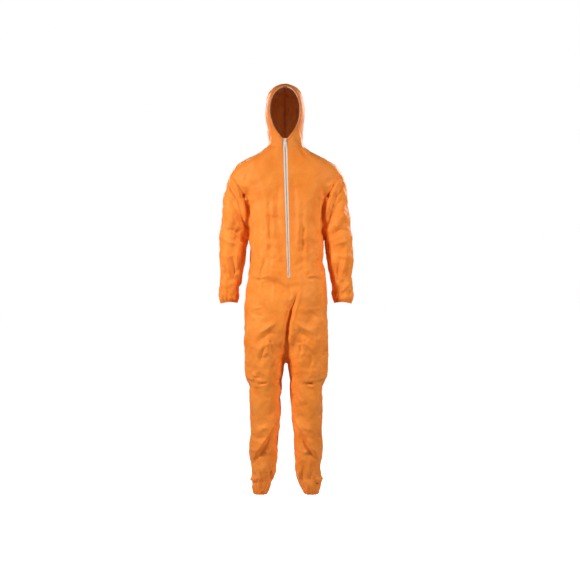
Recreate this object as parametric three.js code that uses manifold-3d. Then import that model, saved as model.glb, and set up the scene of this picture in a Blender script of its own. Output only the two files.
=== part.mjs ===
// Hooded disposable coverall: body panels, sleeves and legs of nonwoven cloth, a hood with an
// elastic face hem, elastic wrists, ankles and waist, and a coil zip with a slider and pull.
// Millimetres, +Z up, the front faces -Y and the wearer's left is +X. The origin is the middle
// of the shoulder line, where a wearer's shoulders or a hanger hold the garment up.
import * as THREE from 'three';
import { mergeVertices } from 'three/addons/utils/BufferGeometryUtils.js';
import Module from 'manifold-3d';

const wasm = await Module();
wasm.setup();
const { Manifold, Mesh } = wasm;

// ---------------------------------------------------------------- driving dimensions
const CLOTH = 1.6; // wall of the cloth, thicker than real cloth so that it holds as a solid
const ELASTIC_WALL = 1.0; // elastic band, inside the cloth
const GAP = 0.3; // clearance between pieces that touch
const ROUNDNESS = 2.3; // power of the garment's oval sections, 2 is an ellipse

const TRUNK = 797; // shoulder line down to the crotch
const INSEAM = 643; // crotch down to the ankle hem
const SLEEVE_DROP = 641; // shoulder line down to the cuff's end, with the arms hanging
const HOOD_RISE = 280; // shoulder line up to the hood's top
const NECK_SEAM = 8; // height of the seam between the body and the hood
const COLLAR_TOP = 100; // height where the neck of the hood stops bending

const ARMHOLE_TOP = { x: 247, z: -117 }; // tip of the shoulder, on the armhole seam
const ARMPIT = { x: 162, z: -350 }; // lowest point of the armhole seam
const ARMHOLE_BAND = 58; // cloth beside the armhole that bends as the sleeve swings
const CUFF_HEM = 18; // height of the hem at the wrist
const CROTCH_SLANT = 30; // degrees that the leg's top edge rises towards the hip
const LEG_TOP_BAND = 100; // cloth below the groin line that bends with the hip
const KNEE_ABOVE_HEM = 430; // height of the knee over the ankle hem
const KNEE_BAND = 100; // cloth round the knee that bends
const ANKLE_HEM = 20; // height of the hem at the ankle

const CHEST_DEPTH = 130; // furthest point of the back, behind the shoulder line
const HIP_HALF_WIDTH = 180;
const WAIST_HALF_WIDTH = 155;
const WAIST_DROP = 535; // shoulder line down to the waist elastic
const WAIST_BAND = 14; // height of the waist elastic

// The face opening: its lowest point, its top and widest place below the hood's top.
const FACE = { bottom: 40, brow: 23, widestBelow: 110, halfWidth: 63 };
const FACE_HEM = 9; // width of the hem round it, seen from the front
const FACE_CUT_DEPTH = 20; // the opening is cut from in front of this distance before the neck

const ZIP_TOP = new THREE.Vector3(-4, -88, 38);
const ZIP_BOTTOM = new THREE.Vector3(12, -136, -541);
const ZIP_HALF_WIDTH = { top: 9.2, bottom: 5.4 }; // what the front panels leave bare
const COIL_HALF_WIDTH = 2;
const COIL_DEPTH = 2.4;
const TAPE_WALL = 0.8;
const ZIP_END = 9; // tape left bare above and below the coil
const SLIDER = { halfWidth: 4.4, length: 12.5, plate: 1.2, post: 0.9, start: 4.5 };
// pinRise is the pin's height over the slider's plate, which lets the pull's ears turn.
const PULL = {
  halfWidth: 3, length: 26, wall: 1.2, ear: 1.1, pin: 0.6, clearance: 0.25, pinRise: 2.7,
};

// ---------------------------------------------------------------- solids from three.js shapes
const up = new THREE.Vector3(0, 0, 1);
const { lerp, mapLinear, degToRad } = THREE.MathUtils;

function solid(geometry) {
  const bare = geometry.clone();
  bare.deleteAttribute('normal');
  bare.deleteAttribute('uv');
  const merged = mergeVertices(bare, 1e-4);
  const position = merged.getAttribute('position').array;
  const index = merged.index.array;
  const kept = [];
  for (let i = 0; i < index.length; i += 3) {
    const [a, b, c] = index.slice(i, i + 3);
    if (a !== b && b !== c && a !== c) kept.push(a, b, c);
  }
  return new Manifold(new Mesh({
    numProp: 3,
    vertProperties: new Float32Array(position),
    triVerts: new Uint32Array(kept),
  }));
}

function box(low, high) {
  const size = new THREE.Vector3().subVectors(high, low);
  const geometry = new THREE.BoxGeometry(size.x, size.y, size.z);
  const middle = new THREE.Vector3().addVectors(low, high).multiplyScalar(0.5);
  return solid(geometry.translate(middle.x, middle.y, middle.z));
}

const FAR = 2500; // reach of the cutting blocks, past the garment on every side

// A block that fills the space from one distance to another along a direction from a point.
function slab(point, direction, from, to) {
  const geometry = new THREE.BoxGeometry(2 * FAR, 2 * FAR, to - from);
  geometry.translate(0, 0, (from + to) / 2);
  geometry.applyQuaternion(new THREE.Quaternion().setFromUnitVectors(up, direction));
  geometry.translate(point.x, point.y, point.z);
  return solid(geometry);
}

const between = (low, high) => slab(new THREE.Vector3(), up, low, high);

// A closed tube through oval sections. Each section is
// [height, middle across, half width, furthest front, furthest back].
// inset moves the whole skin inwards, square to the surface, and its closed ends with it.
function loft(sections, sides, inset, closedEnds) {
  const rings = sections.map(([z, middle, half, front, back]) => {
    const ring = [];
    const y0 = (front + back) / 2;
    const deep = (back - front) / 2;
    for (let i = 0; i < sides; i += 1) {
      const turn = (2 * Math.PI * i) / sides;
      const round = (v) => Math.sign(v) * Math.abs(v) ** (2 / ROUNDNESS);
      ring.push(new THREE.Vector3(
        middle + half * round(Math.cos(turn)),
        y0 + deep * round(Math.sin(turn)),
        z,
      ));
    }
    return ring;
  });
  const last = rings.length - 1;
  const moved = rings.map((ring, r) => ring.map((point, i) => {
    const round = new THREE.Vector3()
      .subVectors(ring[(i + 1) % sides], ring[(i + sides - 1) % sides]);
    const along = new THREE.Vector3()
      .subVectors(rings[Math.min(r + 1, last)][i], rings[Math.max(r - 1, 0)][i]);
    const outward = round.cross(along).normalize();
    return point.clone().addScaledVector(outward, -inset);
  }));
  const ends = [0, last].map((r, k) => {
    const middle = new THREE.Vector3();
    moved[r].forEach((p) => middle.addScaledVector(p, 1 / sides));
    if (closedEnds[k]) middle.z += k === 0 ? inset : -inset;
    return middle;
  });
  closedEnds.forEach((closed, k) => {
    if (closed) moved[k === 0 ? 0 : last].forEach((p) => { p.z += k === 0 ? inset : -inset; });
  });
  if (closedEnds[0]) ends[0].z = moved[0][0].z;
  if (closedEnds[1]) ends[1].z = moved[last][0].z;
  const points = [...moved.flat(), ...ends];
  const triangles = [];
  for (let r = 0; r < last; r += 1) {
    for (let i = 0; i < sides; i += 1) {
      const j = (i + 1) % sides;
      const [a, b] = [r * sides + i, r * sides + j];
      triangles.push(a, b, b + sides, a, b + sides, a + sides);
    }
  }
  for (let i = 0; i < sides; i += 1) {
    const j = (i + 1) % sides;
    triangles.push(points.length - 2, j, i);
    triangles.push(points.length - 1, last * sides + i, last * sides + j);
  }
  const geometry = new THREE.BufferGeometry().setFromPoints(points);
  geometry.setIndex(triangles);
  return solid(geometry);
}

// ---------------------------------------------------------------- the garment's outer form
// The front is straight from the chin to the zip's end, so that the slider has a straight way.
const frontAt = (z) => mapLinear(z, ZIP_TOP.z, ZIP_BOTTOM.z, ZIP_TOP.y, ZIP_BOTTOM.y);
// Heights between the armpit and the crotch, and between the crotch and the ankle hem.
const trunkAt = (share) => lerp(ARMPIT.z, -TRUNK, share);
const legAt = (share) => -TRUNK - share * INSEAM;
const sleeveAt = (share) => lerp(ARMPIT.z, -SLEEVE_DROP, share);

const trunkSections = [
  [-TRUNK + 8, 0, HIP_HALF_WIDTH - 3, -118, 118],
  [trunkAt(0.86), 0, HIP_HALF_WIDTH, -128, 126],
  [trunkAt(0.68), 0, HIP_HALF_WIDTH, -133, 128],
  [trunkAt(0.57), 0, HIP_HALF_WIDTH - 8, -135, 120],
  [-WAIST_DROP, 0, WAIST_HALF_WIDTH + 7, frontAt(-WAIST_DROP), 110],
  [trunkAt(0.28), 0, WAIST_HALF_WIDTH, frontAt(trunkAt(0.28)), 111],
  [trunkAt(0.12), 0, WAIST_HALF_WIDTH, frontAt(trunkAt(0.12)), 116],
  [ARMPIT.z, 0, ARMPIT.x - 4, frontAt(ARMPIT.z), 121],
  [-276, 0, 165, frontAt(-276), CHEST_DEPTH - 3],
  [-200, 0, 190, frontAt(-200), CHEST_DEPTH],
  [-150, 0, 225, frontAt(-150), CHEST_DEPTH],
  [-125, 0, 238, frontAt(-125), CHEST_DEPTH - 2],
  [-100, 0, 237, frontAt(-100), CHEST_DEPTH - 5],
  [-75, 0, 222, frontAt(-75), CHEST_DEPTH - 11],
  [-50, 0, 194, frontAt(-50), CHEST_DEPTH - 19],
  [-25, 0, 147, frontAt(-25), CHEST_DEPTH - 30],
  [-6, 0, 106, frontAt(-6), CHEST_DEPTH - 42],
  [14, 0, 74, frontAt(14) + 4, CHEST_DEPTH - 54],
];

const hoodSections = [
  [-14, 0, 72, frontAt(-14) + 5, 72],
  [NECK_SEAM, 0, 74, frontAt(NECK_SEAM), 76],
  [34, 0, 69, frontAt(34), 78],
  [76, 0, 72, frontAt(76), 88],
  [0.43 * HOOD_RISE, 0, 78, -94, 103],
  [0.57 * HOOD_RISE, 0, 84, -100, 115],
  [0.72 * HOOD_RISE, 0, 84, -101, 118],
  [0.81 * HOOD_RISE, 0, 80, -95, 112],
  [0.9 * HOOD_RISE, 0, 66, -80, 96],
  [0.96 * HOOD_RISE, 0, 44, -54, 68],
  [0.99 * HOOD_RISE, 0, 20, -22, 34],
  [HOOD_RISE, 0, 6, 0, 12],
];

const sleeveSections = [
  [-104, 190, 46, -46, 60],
  [-125, 188, 62, -58, 74],
  [-176, 196, 60, -70, 80],
  [-276, 211, 60, -74, 80],
  [ARMPIT.z + 20, 218, 61, -73, 75],
  [sleeveAt(0.1), 224, 60, -72, 68],
  [sleeveAt(0.44), 229, 55, -69, 56],
  [sleeveAt(0.7), 236, 48, -64, 48],
  [sleeveAt(0.96), 238.5, 42, -58, 38],
  [-SLEEVE_DROP, 237, 40, -56, 36],
  [-SLEEVE_DROP - 20, 237, 38, -54, 34],
].reverse();

const legSections = [
  [-TRUNK + 110, 92, 84, -112, 112],
  [legAt(0), 93, 87, -121, 119],
  [legAt(0.09), 92, 84, -120, 114],
  [legAt(0.21), 96.5, 79.5, -112, 104],
  [legAt(0.33), 92, 71, -103, 94],
  [legAt(0.48), 93, 64, -92, 90],
  [legAt(0.68), 98, 60, -82, 84],
  [legAt(0.8), 98, 60, -76, 78],
  [legAt(0.875), 100, 54, -70, 70],
  [legAt(0.913), 98.5, 49, -64, 62],
  [legAt(0.952), 103, 43, -58, 52],
  [legAt(0.985), 106, 37, -52, 44],
  [legAt(1) - 12, 107, 34, -48, 40],
].reverse();

const mirrored = (sections) => sections.map(([z, middle, ...rest]) => [z, -middle, ...rest]);

// The whole garment as one solid, with its skin moved inwards by inset.
function garment(inset) {
  return loft(trunkSections, 28, inset, [true, false])
    .add(loft(hoodSections, 24, inset, [false, true]))
    .add(loft(sleeveSections, 16, inset, [false, false]))
    .add(loft(mirrored(sleeveSections), 16, inset, [false, false]))
    .add(loft(legSections, 18, inset, [false, false]))
    .add(loft(mirrored(legSections), 18, inset, [false, false]));
}

const cloth = garment(0).subtract(garment(CLOTH));
const lining = garment(CLOTH + GAP).subtract(garment(CLOTH + GAP + ELASTIC_WALL));

// ---------------------------------------------------------------- where the cloth is cut
const seamLength = Math.hypot(ARMHOLE_TOP.x - ARMPIT.x, ARMHOLE_TOP.z - ARMPIT.z);
const sides = { left: 1, right: -1 };

// The space of one arm: outside the armhole's plane and outside a plane between the
// sleeve and the body. grow makes it larger, for cutting the body clear of it.
function armSpace(side, from, to, grow = 0) {
  const across = (ARMHOLE_TOP.z - ARMPIT.z) / seamLength;
  const down = -(ARMHOLE_TOP.x - ARMPIT.x) / seamLength;
  const armhole = slab(
    new THREE.Vector3(side * ARMPIT.x, 0, ARMPIT.z),
    new THREE.Vector3(side * across, 0, down), from - grow, to,
  );
  const top = new THREE.Vector3(side * (ARMPIT.x - 4), 0, ARMPIT.z);
  const low = new THREE.Vector3(side * (ARMPIT.x + 24), 0, -SLEEVE_DROP);
  const away = new THREE.Vector3(side * (top.z - low.z), 0, side * (low.x - top.x)).normalize();
  return armhole.intersect(slab(top, away, -grow, FAR));
}

// The space of one leg: below the slanting groin line, on its own side of the middle.
function legSpace(side, from, to, grow = 0) {
  const slant = degToRad(CROTCH_SLANT);
  const direction = new THREE.Vector3(side * Math.sin(slant), 0, -Math.cos(slant));
  const below = slab(new THREE.Vector3(0, 0, -TRUNK - 6), direction, from - grow, to);
  const own = new THREE.Vector3(side, 0, 0);
  return below.intersect(slab(new THREE.Vector3(), own, GAP / 2 - grow, FAR));
}

// The outline of the face opening, drawn from the front and pushed through the hood's front.
function faceCutter(grow) {
  const wide = FACE.halfWidth + grow;
  const widest = HOOD_RISE - FACE.widestBelow;
  const high = HOOD_RISE - FACE.brow + grow;
  const low = FACE.bottom - 1.4 * grow;
  const outline = new THREE.Shape();
  outline.moveTo(0, low);
  outline.bezierCurveTo(0.4 * wide, low + 22, wide, widest - 70, wide, widest);
  outline.bezierCurveTo(wide, lerp(widest, high, 0.6), 0.58 * wide, high, 0, high);
  outline.bezierCurveTo(-0.58 * wide, high, -wide, lerp(widest, high, 0.6), -wide, widest);
  outline.bezierCurveTo(-wide, widest - 70, -0.4 * wide, low + 22, 0, low);
  const geometry = new THREE.ExtrudeGeometry(outline, {
    depth: 200, bevelEnabled: false, curveSegments: 6,
  });
  return solid(geometry.rotateX(Math.PI / 2).translate(0, -FACE_CUT_DEPTH, 0));
}

// The zip's own frame: its Y points out of the chest, its Z runs up, and so its X runs across
// to the wearer's right.
const zipUp = new THREE.Vector3().subVectors(ZIP_TOP, ZIP_BOTTOM).normalize();
const zipAcross = new THREE.Vector3(0, -1, 0).cross(zipUp).normalize();
const zipOut = new THREE.Vector3().crossVectors(zipUp, zipAcross);
const zipLength = ZIP_TOP.distanceTo(ZIP_BOTTOM);
const zipFrame = new THREE.Matrix4()
  .makeBasis(zipAcross, zipOut, zipUp)
  .setPosition(ZIP_TOP);
const onZip = (shape) => shape.transform(zipFrame.elements);
const zipBox = (x0, x1, y0, y1, z0, z1) => onZip(box(
  new THREE.Vector3(x0, y0, z0),
  new THREE.Vector3(x1, y1, z1),
));

// A strip of the zip from one share of its half width to another, tapering downwards.
function zipStrip(innerTop, outerTop, innerLow, outerLow, y0, y1, above) {
  const outline = new THREE.Shape([
    new THREE.Vector2(innerTop, above),
    new THREE.Vector2(innerLow, -zipLength),
    new THREE.Vector2(outerLow, -zipLength),
    new THREE.Vector2(outerTop, above),
  ]);
  const geometry = new THREE.ExtrudeGeometry(outline, { depth: y1 - y0, bevelEnabled: false });
  return onZip(solid(geometry.rotateX(Math.PI / 2).translate(0, y1, 0)));
}

const zipSlot = zipStrip(
  -ZIP_HALF_WIDTH.top - GAP, ZIP_HALF_WIDTH.top + GAP,
  -ZIP_HALF_WIDTH.bottom - GAP, ZIP_HALF_WIDTH.bottom + GAP, -20, 20, 4,
);
// The centre front seam follows the zip's lean above its end and is upright below it.
const frontSplit = (side) => {
  const outline = new THREE.Shape([
    new THREE.Vector2(ZIP_TOP.x, HOOD_RISE + 50),
    new THREE.Vector2(ZIP_TOP.x, ZIP_TOP.z),
    new THREE.Vector2(ZIP_BOTTOM.x, ZIP_BOTTOM.z),
    new THREE.Vector2(0, -TRUNK - 40),
    new THREE.Vector2(side * FAR, -TRUNK - 40),
    new THREE.Vector2(side * FAR, HOOD_RISE + 50),
  ].map((p) => p.add(new THREE.Vector2(side * GAP / 2, 0))));
  const geometry = new THREE.ExtrudeGeometry(outline, { depth: 400, bevelEnabled: false });
  return solid(geometry.rotateX(Math.PI / 2));
};
const half = (side) => slab(new THREE.Vector3(), new THREE.Vector3(side, 0, 0), GAP / 2, FAR);
const front = slab(new THREE.Vector3(), new THREE.Vector3(0, -1, 0), GAP / 2, FAR);
const back = slab(new THREE.Vector3(), new THREE.Vector3(0, 1, 0), GAP / 2, FAR);

// ---------------------------------------------------------------- the pieces
const orange = { color: 0xf58a35, roughness: 0.62 };
const hemOrange = { color: 0xea7f2d, roughness: 0.62 };
const white = { color: 0xf0e6dc, roughness: 0.7 };
const elasticWhite = { color: 0xe8e2d8, roughness: 0.9 };
const steel = { color: 0xc9c5bf, roughness: 0.35, metalness: 0.8 };
const suit = new THREE.Group();

function piece(name, shape, look) {
  const { vertProperties, triVerts } = shape.getMesh();
  const geometry = new THREE.BufferGeometry();
  geometry.setAttribute('position', new THREE.BufferAttribute(vertProperties, 3));
  geometry.setIndex(new THREE.BufferAttribute(triVerts, 1));
  const mesh = new THREE.Mesh(geometry, new THREE.MeshStandardMaterial({ metalness: 0, ...look }));
  mesh.name = name;
  suit.add(mesh);
}

const faceHole = faceCutter(0);
const aboveCollar = between(COLLAR_TOP + GAP, HOOD_RISE + 50);
const collar = between(NECK_SEAM + GAP, COLLAR_TOP);
const armless = cloth.subtract(armSpace(1, 0, FAR, GAP)).subtract(armSpace(-1, 0, FAR, GAP));
const trunk = armless
  .intersect(between(-TRUNK - 40, NECK_SEAM))
  .subtract(legSpace(1, 0, FAR, GAP)).subtract(legSpace(-1, 0, FAR, GAP))
  .subtract(zipSlot);

for (const [name, side] of Object.entries(sides)) {
  // body and hood panels of this side
  piece(`front_panel_${name}`, trunk.intersect(front).intersect(frontSplit(side)), orange);
  piece(`back_panel_${name}`, trunk.intersect(back).intersect(half(side)), orange);
  const neck = cloth.intersect(collar).intersect(half(side));
  piece(`collar_${name}`, neck.subtract(faceHole).subtract(zipSlot), orange);
  const dome = cloth.intersect(aboveCollar).intersect(half(side));
  piece(`hood_panel_${name}`, dome.subtract(faceCutter(FACE_HEM + GAP)), orange);

  // sleeve
  const upper = cloth.intersect(armSpace(side, 0, ARMHOLE_BAND));
  piece(`armhole_band_${name}`, upper, orange);
  const arm = armSpace(side, ARMHOLE_BAND + GAP, FAR);
  const cuffTop = -SLEEVE_DROP + CUFF_HEM;
  piece(`sleeve_${name}`, cloth.intersect(arm).intersect(between(cuffTop + GAP, 0)), orange);
  const cuff = cloth.intersect(arm).intersect(between(-SLEEVE_DROP, cuffTop));
  piece(`cuff_hem_${name}`, cuff, hemOrange);
  const wrist = between(-SLEEVE_DROP + 5, -SLEEVE_DROP + 11);
  piece(`wrist_elastic_${name}`, lining.intersect(arm).intersect(wrist), elasticWhite);

  // leg
  const hem = -TRUNK - INSEAM;
  const knee = hem + KNEE_ABOVE_HEM;
  piece(`leg_top_band_${name}`, armless.intersect(legSpace(side, 0, LEG_TOP_BAND)), orange);
  const leg = legSpace(side, LEG_TOP_BAND + GAP, FAR);
  const kneeTop = knee + KNEE_BAND / 2;
  const kneeLow = knee - KNEE_BAND / 2;
  piece(`thigh_${name}`, armless.intersect(leg).intersect(between(kneeTop + GAP, 0)), orange);
  piece(`knee_band_${name}`, armless.intersect(leg).intersect(between(kneeLow, kneeTop)), orange);
  const shin = between(hem + ANKLE_HEM + GAP, kneeLow - GAP);
  piece(`shin_${name}`, armless.intersect(leg).intersect(shin), orange);
  const ankleHem = between(hem, hem + ANKLE_HEM);
  piece(`ankle_hem_${name}`, armless.intersect(leg).intersect(ankleHem), hemOrange);
  const ankle = between(hem + 6, hem + 12);
  piece(`ankle_elastic_${name}`, lining.intersect(leg).intersect(ankle), elasticWhite);

  // this side's half of the zip
  const [inner, outer] = [COIL_HALF_WIDTH + GAP, ZIP_HALF_WIDTH];
  const strip = side === -1
    ? [inner, outer.top, inner, outer.bottom]
    : [-outer.top, -inner, -outer.bottom, -inner];
  piece(`zip_tape_${name}`, zipStrip(...strip, -TAPE_WALL / 2, TAPE_WALL / 2, 0), white);
  const coil = [-side * GAP / 2, -side * COIL_HALF_WIDTH].sort((a, b) => a - b);
  const coilBack = TAPE_WALL / 2 - COIL_DEPTH / 2;
  const coilShape = zipBox(...coil, coilBack, coilBack + COIL_DEPTH, -zipLength + ZIP_END, -ZIP_END);
  piece(`zip_coil_${name}`, coilShape, white);
  const stop = [-side * 1.2, -side * 3.6].sort((a, b) => a - b);
  const stopShape = zipBox(...stop, TAPE_WALL / 2 + GAP, TAPE_WALL / 2 + 1.6, -3.8, -1.2);
  piece(`zip_top_stop_${name}`, stopShape, steel);
}

const hemRing = faceCutter(FACE_HEM).subtract(faceHole);
piece('face_hem', cloth.intersect(aboveCollar).intersect(hemRing), hemOrange);
const elasticRing = faceCutter(0.7 * FACE_HEM).subtract(faceCutter(0.2 * FACE_HEM));
piece('face_elastic', lining.intersect(aboveCollar).intersect(elasticRing), elasticWhite);
const waistBand = between(-WAIST_DROP - WAIST_BAND / 2, -WAIST_DROP + WAIST_BAND / 2);
const atBack = slab(new THREE.Vector3(), new THREE.Vector3(0, 1, 0), 15, FAR);
const waist = lining.intersect(waistBand).intersect(atBack)
  .subtract(armSpace(1, 0, FAR, GAP)).subtract(armSpace(-1, 0, FAR, GAP));
piece('waist_elastic', waist, elasticWhite);
const labelSpace = box(new THREE.Vector3(-22, 40, -52), new THREE.Vector3(22, 200, NECK_SEAM - 14));
piece('neck_label', lining.intersect(labelSpace), white);

// bottom stop across both tapes
const stopLow = -zipLength + ZIP_END - 4.5;
const bottomStop = zipBox(-3, 3, TAPE_WALL / 2 + GAP, TAPE_WALL / 2 + 2, stopLow, stopLow + 4);
piece('zip_bottom_stop', bottomStop, steel);

// The slider: a plate before and one behind the chain, joined by a post above the coil's end,
// with a lug and a cross pin that carry the pull.
const coilFace = TAPE_WALL / 2 + COIL_DEPTH / 2;
const coilRear = TAPE_WALL / 2 - COIL_DEPTH / 2;
const plateBack = coilFace + GAP;
const plateFace = plateBack + SLIDER.plate;
const sliderTop = -SLIDER.start;
const sliderLow = sliderTop - SLIDER.length;
const { halfWidth, plate, post } = SLIDER;
const pivot = new THREE.Vector3(0, plateFace + PULL.pinRise, sliderTop - 4);

function pinAcross(radius, halfLength) {
  const geometry = new THREE.CylinderGeometry(radius, radius, 2 * halfLength, 16);
  return onZip(solid(geometry.rotateZ(Math.PI / 2).translate(pivot.x, pivot.y, pivot.z)));
}

const lugHalf = 1;
const pinHalf = lugHalf + GAP + PULL.ear + 0.6;
const slider = zipBox(-halfWidth, halfWidth, plateBack, plateFace, sliderLow, sliderTop)
  .add(zipBox(-halfWidth, halfWidth, coilRear - GAP - plate, coilRear - GAP, sliderLow, sliderTop))
  .add(zipBox(-post, post, coilRear - GAP - 0.2, plateBack + 0.2, sliderTop - 3.2, sliderTop))
  .add(zipBox(-lugHalf, lugHalf, plateFace - 0.2, pivot.y + 1, pivot.z - 1.6, pivot.z + 1.6))
  .add(pinAcross(PULL.pin, pinHalf));
piece('zip_slider', slider, steel);

// The pull: two ears on the pin and a flat tab that hangs in front of the slider.
const earReach = PULL.pin + PULL.clearance + PULL.ear * 0.8;
const earSpan = [lugHalf + GAP, lugHalf + GAP + PULL.ear];
const tabTop = pivot.z - 2.4;
const tabBack = pivot.y - PULL.wall / 2;
const ear = (side) => {
  const across = earSpan.map((x) => side * x).sort((a, b) => a - b);
  return zipBox(...across, pivot.y - earReach, pivot.y + earReach, tabTop - 2, pivot.z + earReach);
};
const tab = zipBox(
  -PULL.halfWidth, PULL.halfWidth, tabBack, tabBack + PULL.wall, pivot.z - PULL.length, tabTop,
);
const pull = tab.add(ear(1)).add(ear(-1))
  .subtract(pinAcross(PULL.pin + PULL.clearance, pinHalf + 1))
  .subtract(zipBox(-2, 2, tabBack - 5, tabBack + 5, pivot.z - PULL.length + 3, pivot.z - 17));
piece('zip_pull', pull, steel);

export default suit;
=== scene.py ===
# %% [markdown]
# # A hooded disposable coverall
#
# The garment is one loose skin of laminated nonwoven cloth, filled out as if somebody wore it.
# It is made here as a tailor would not make it, but as a modeller can: first the whole skin as
# one closed form, then its folds, then the seams cut it into panels, and last each panel gets
# its wall, its hem, its thread and its finish. Cutting comes after folding, so that a fold runs
# on across a seam without a step.

# %% The frame and its measures
import math

import bmesh
import bpy
import numpy as np
from mathutils import Matrix, Vector
from mathutils.bvhtree import BVHTree


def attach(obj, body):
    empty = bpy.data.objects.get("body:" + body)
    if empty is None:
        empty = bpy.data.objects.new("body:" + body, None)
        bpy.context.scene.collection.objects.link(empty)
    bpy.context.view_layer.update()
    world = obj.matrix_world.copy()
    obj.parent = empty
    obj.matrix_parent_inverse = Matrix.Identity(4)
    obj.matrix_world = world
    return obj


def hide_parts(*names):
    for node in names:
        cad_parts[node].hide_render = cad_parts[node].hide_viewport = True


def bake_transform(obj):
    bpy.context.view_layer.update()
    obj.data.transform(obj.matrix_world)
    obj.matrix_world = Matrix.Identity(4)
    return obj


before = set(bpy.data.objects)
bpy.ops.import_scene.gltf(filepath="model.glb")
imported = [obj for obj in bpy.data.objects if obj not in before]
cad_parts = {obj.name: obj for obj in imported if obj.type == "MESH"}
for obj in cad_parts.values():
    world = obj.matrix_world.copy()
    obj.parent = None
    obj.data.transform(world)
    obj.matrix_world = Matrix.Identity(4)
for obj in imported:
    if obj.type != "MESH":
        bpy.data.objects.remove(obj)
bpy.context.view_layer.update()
MM = 0.001
SIDES = {"left": 1, "right": -1}

# %% [markdown]
# ## Camera
#
# The garment is looked at square on, from the height of the hips and from far away, so that
# the hood and the ankles are drawn at the same scale. The lens is long for the same reason.

# %% Camera
VIEW_MIDDLE = Vector((0.0168, 0, -0.5867))
VIEW_DISTANCE = 5.2
VIEW_WIDTH = 2.433  # what the view spans at the garment

camera_data = bpy.data.cameras.new("camera")
camera_data.sensor_width = 36
camera_data.lens = 36 * VIEW_DISTANCE / VIEW_WIDTH
camera = bpy.data.objects.new("camera", camera_data)
camera.location = VIEW_MIDDLE - Vector((0, VIEW_DISTANCE, 0))
camera.rotation_euler = (math.radians(90), 0, 0)
bpy.context.scene.collection.objects.link(camera)
bpy.context.scene.camera = camera
print("lens", round(camera_data.lens, 1), "mm")

# %% [markdown]
# ## Helpers
#
# Colours are written as hex values, as a dye card would give them, and one function turns them
# to the linear numbers that Blender works with. Meshes are made from plain arrays of points.

# %% Helpers
def dye(code):
    """A hex colour as linear red, green, blue and alpha."""
    parts = [int(code[i:i + 2], 16) / 255 for i in (1, 3, 5)]
    return [c / 12.92 if c <= 0.04045 else ((c + 0.055) / 1.055) ** 2.4 for c in parts] + [1]


def new_object(name, points, faces):
    mesh = bpy.data.meshes.new(name)
    mesh.from_pydata(np.asarray(points).tolist(), [], [list(map(int, f)) for f in faces])
    mesh.update()
    made = bpy.data.objects.new(name, mesh)
    bpy.context.scene.collection.objects.link(made)
    return made


def applied(source, name):
    """The source with its modifiers applied, as a new object without any."""
    graph = bpy.context.evaluated_depsgraph_get()
    mesh = bpy.data.meshes.new_from_object(source.evaluated_get(graph))
    bpy.data.objects.remove(source)
    made = bpy.data.objects.new(name, mesh)
    bpy.context.scene.collection.objects.link(made)
    return made


def points_of(mesh):
    flat = np.empty(len(mesh.vertices) * 3)
    mesh.vertices.foreach_get("co", flat)
    return flat.reshape(-1, 3)


def soft_step(t):
    t = np.clip(t, 0, 1)
    return t * t * (3 - 2 * t)


print("helpers ready, orange is", [round(c, 3) for c in dye("#f58a35")[:3]])

# %% [markdown]
# ## The form
#
# On the real garment the cloth has no form of its own: the wearer gives it one. So the form is
# lofted from oval rows, one list each for the trunk, the hood, a sleeve and a leg. A row is
# [height, middle across, half width, furthest front, furthest back] in millimetres. The ovals
# are a little squarer than an ellipse, because cloth hangs straight from its widest points.

# %% Rows of the form
ROUNDNESS = 2.3
ZIP_TOP, ZIP_LOW = np.array([-4, -88, 38]) * MM, np.array([12, -136, -541]) * MM


def front_line(z):
    """How far forward the zip lies at height z, in millimetres."""
    return -88 - 48 * (38 - z) / 579


def trunk_row(z, half, back, front=None):
    return [z, 0, half, front_line(z) if front is None else front, back]


TRUNK = [
    trunk_row(-888, 10, 30, -45), trunk_row(-860, 26, 66, -82), trunk_row(-825, 52, 95, -104),
    trunk_row(-792, 120, 112, -116), trunk_row(-734, 180, 126, -128),
    trunk_row(-654, 180, 128, -133), trunk_row(-629, 176, 124, -135),
    trunk_row(-605, 172, 120, -136), trunk_row(-553, 167, 113, -136),
    trunk_row(-528, 163, 110, -135), trunk_row(-478, 157, 111), trunk_row(-404, 155, 116),
    trunk_row(-350, 158, 121), trunk_row(-276, 165, 127), trunk_row(-200, 190, 130),
    trunk_row(-150, 225, 130), trunk_row(-125, 238, 128), trunk_row(-100, 236, 125),
    trunk_row(-75, 221, 119), trunk_row(-50, 193, 111), trunk_row(-25, 147, 100),
    trunk_row(-8, 106, 88), trunk_row(14, 74, 76, front_line(14) + 4),
]
HOOD = [
    [-14, 0, 72, front_line(-14) + 5, 72], [8, 0, 73, front_line(8), 76],
    [34, -1, 68, front_line(34), 78], [76, -3, 71.5, front_line(76), 88],
    [101, -4, 74, -89, 95], [120, -5, 78.5, -94, 103], [151, -5, 83, -99, 113],
    [180, -5, 81, -101, 118], [202, -5, 79.5, -101, 118], [227, -5, 75, -95, 112],
    [240, -5, 69, -88, 104], [252, -4, 60, -78, 94], [266, -4, 44, -56, 70],
    [275, -4, 26, -30, 44], [280, -4, 7, 0, 12],
]
SLEEVE = [
    [-104, 190, 46, -46, 60], [-125, 188, 62, -58, 74], [-176, 196, 61, -70, 80],
    [-251, 207, 61.5, -73, 80], [-330, 218, 61, -73, 75], [-379, 224, 60, -72, 68],
    [-478, 229, 54, -69, 56], [-528, 233, 49, -66, 52], [-553, 236, 48, -64, 48],
    [-604, 238, 44, -61, 42], [-620, 239, 41.5, -58, 39], [-631, 239, 37, -53, 34],
    [-640, 239, 32, -47, 28], [-662, 239, 29, -43, 25],
]
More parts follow.
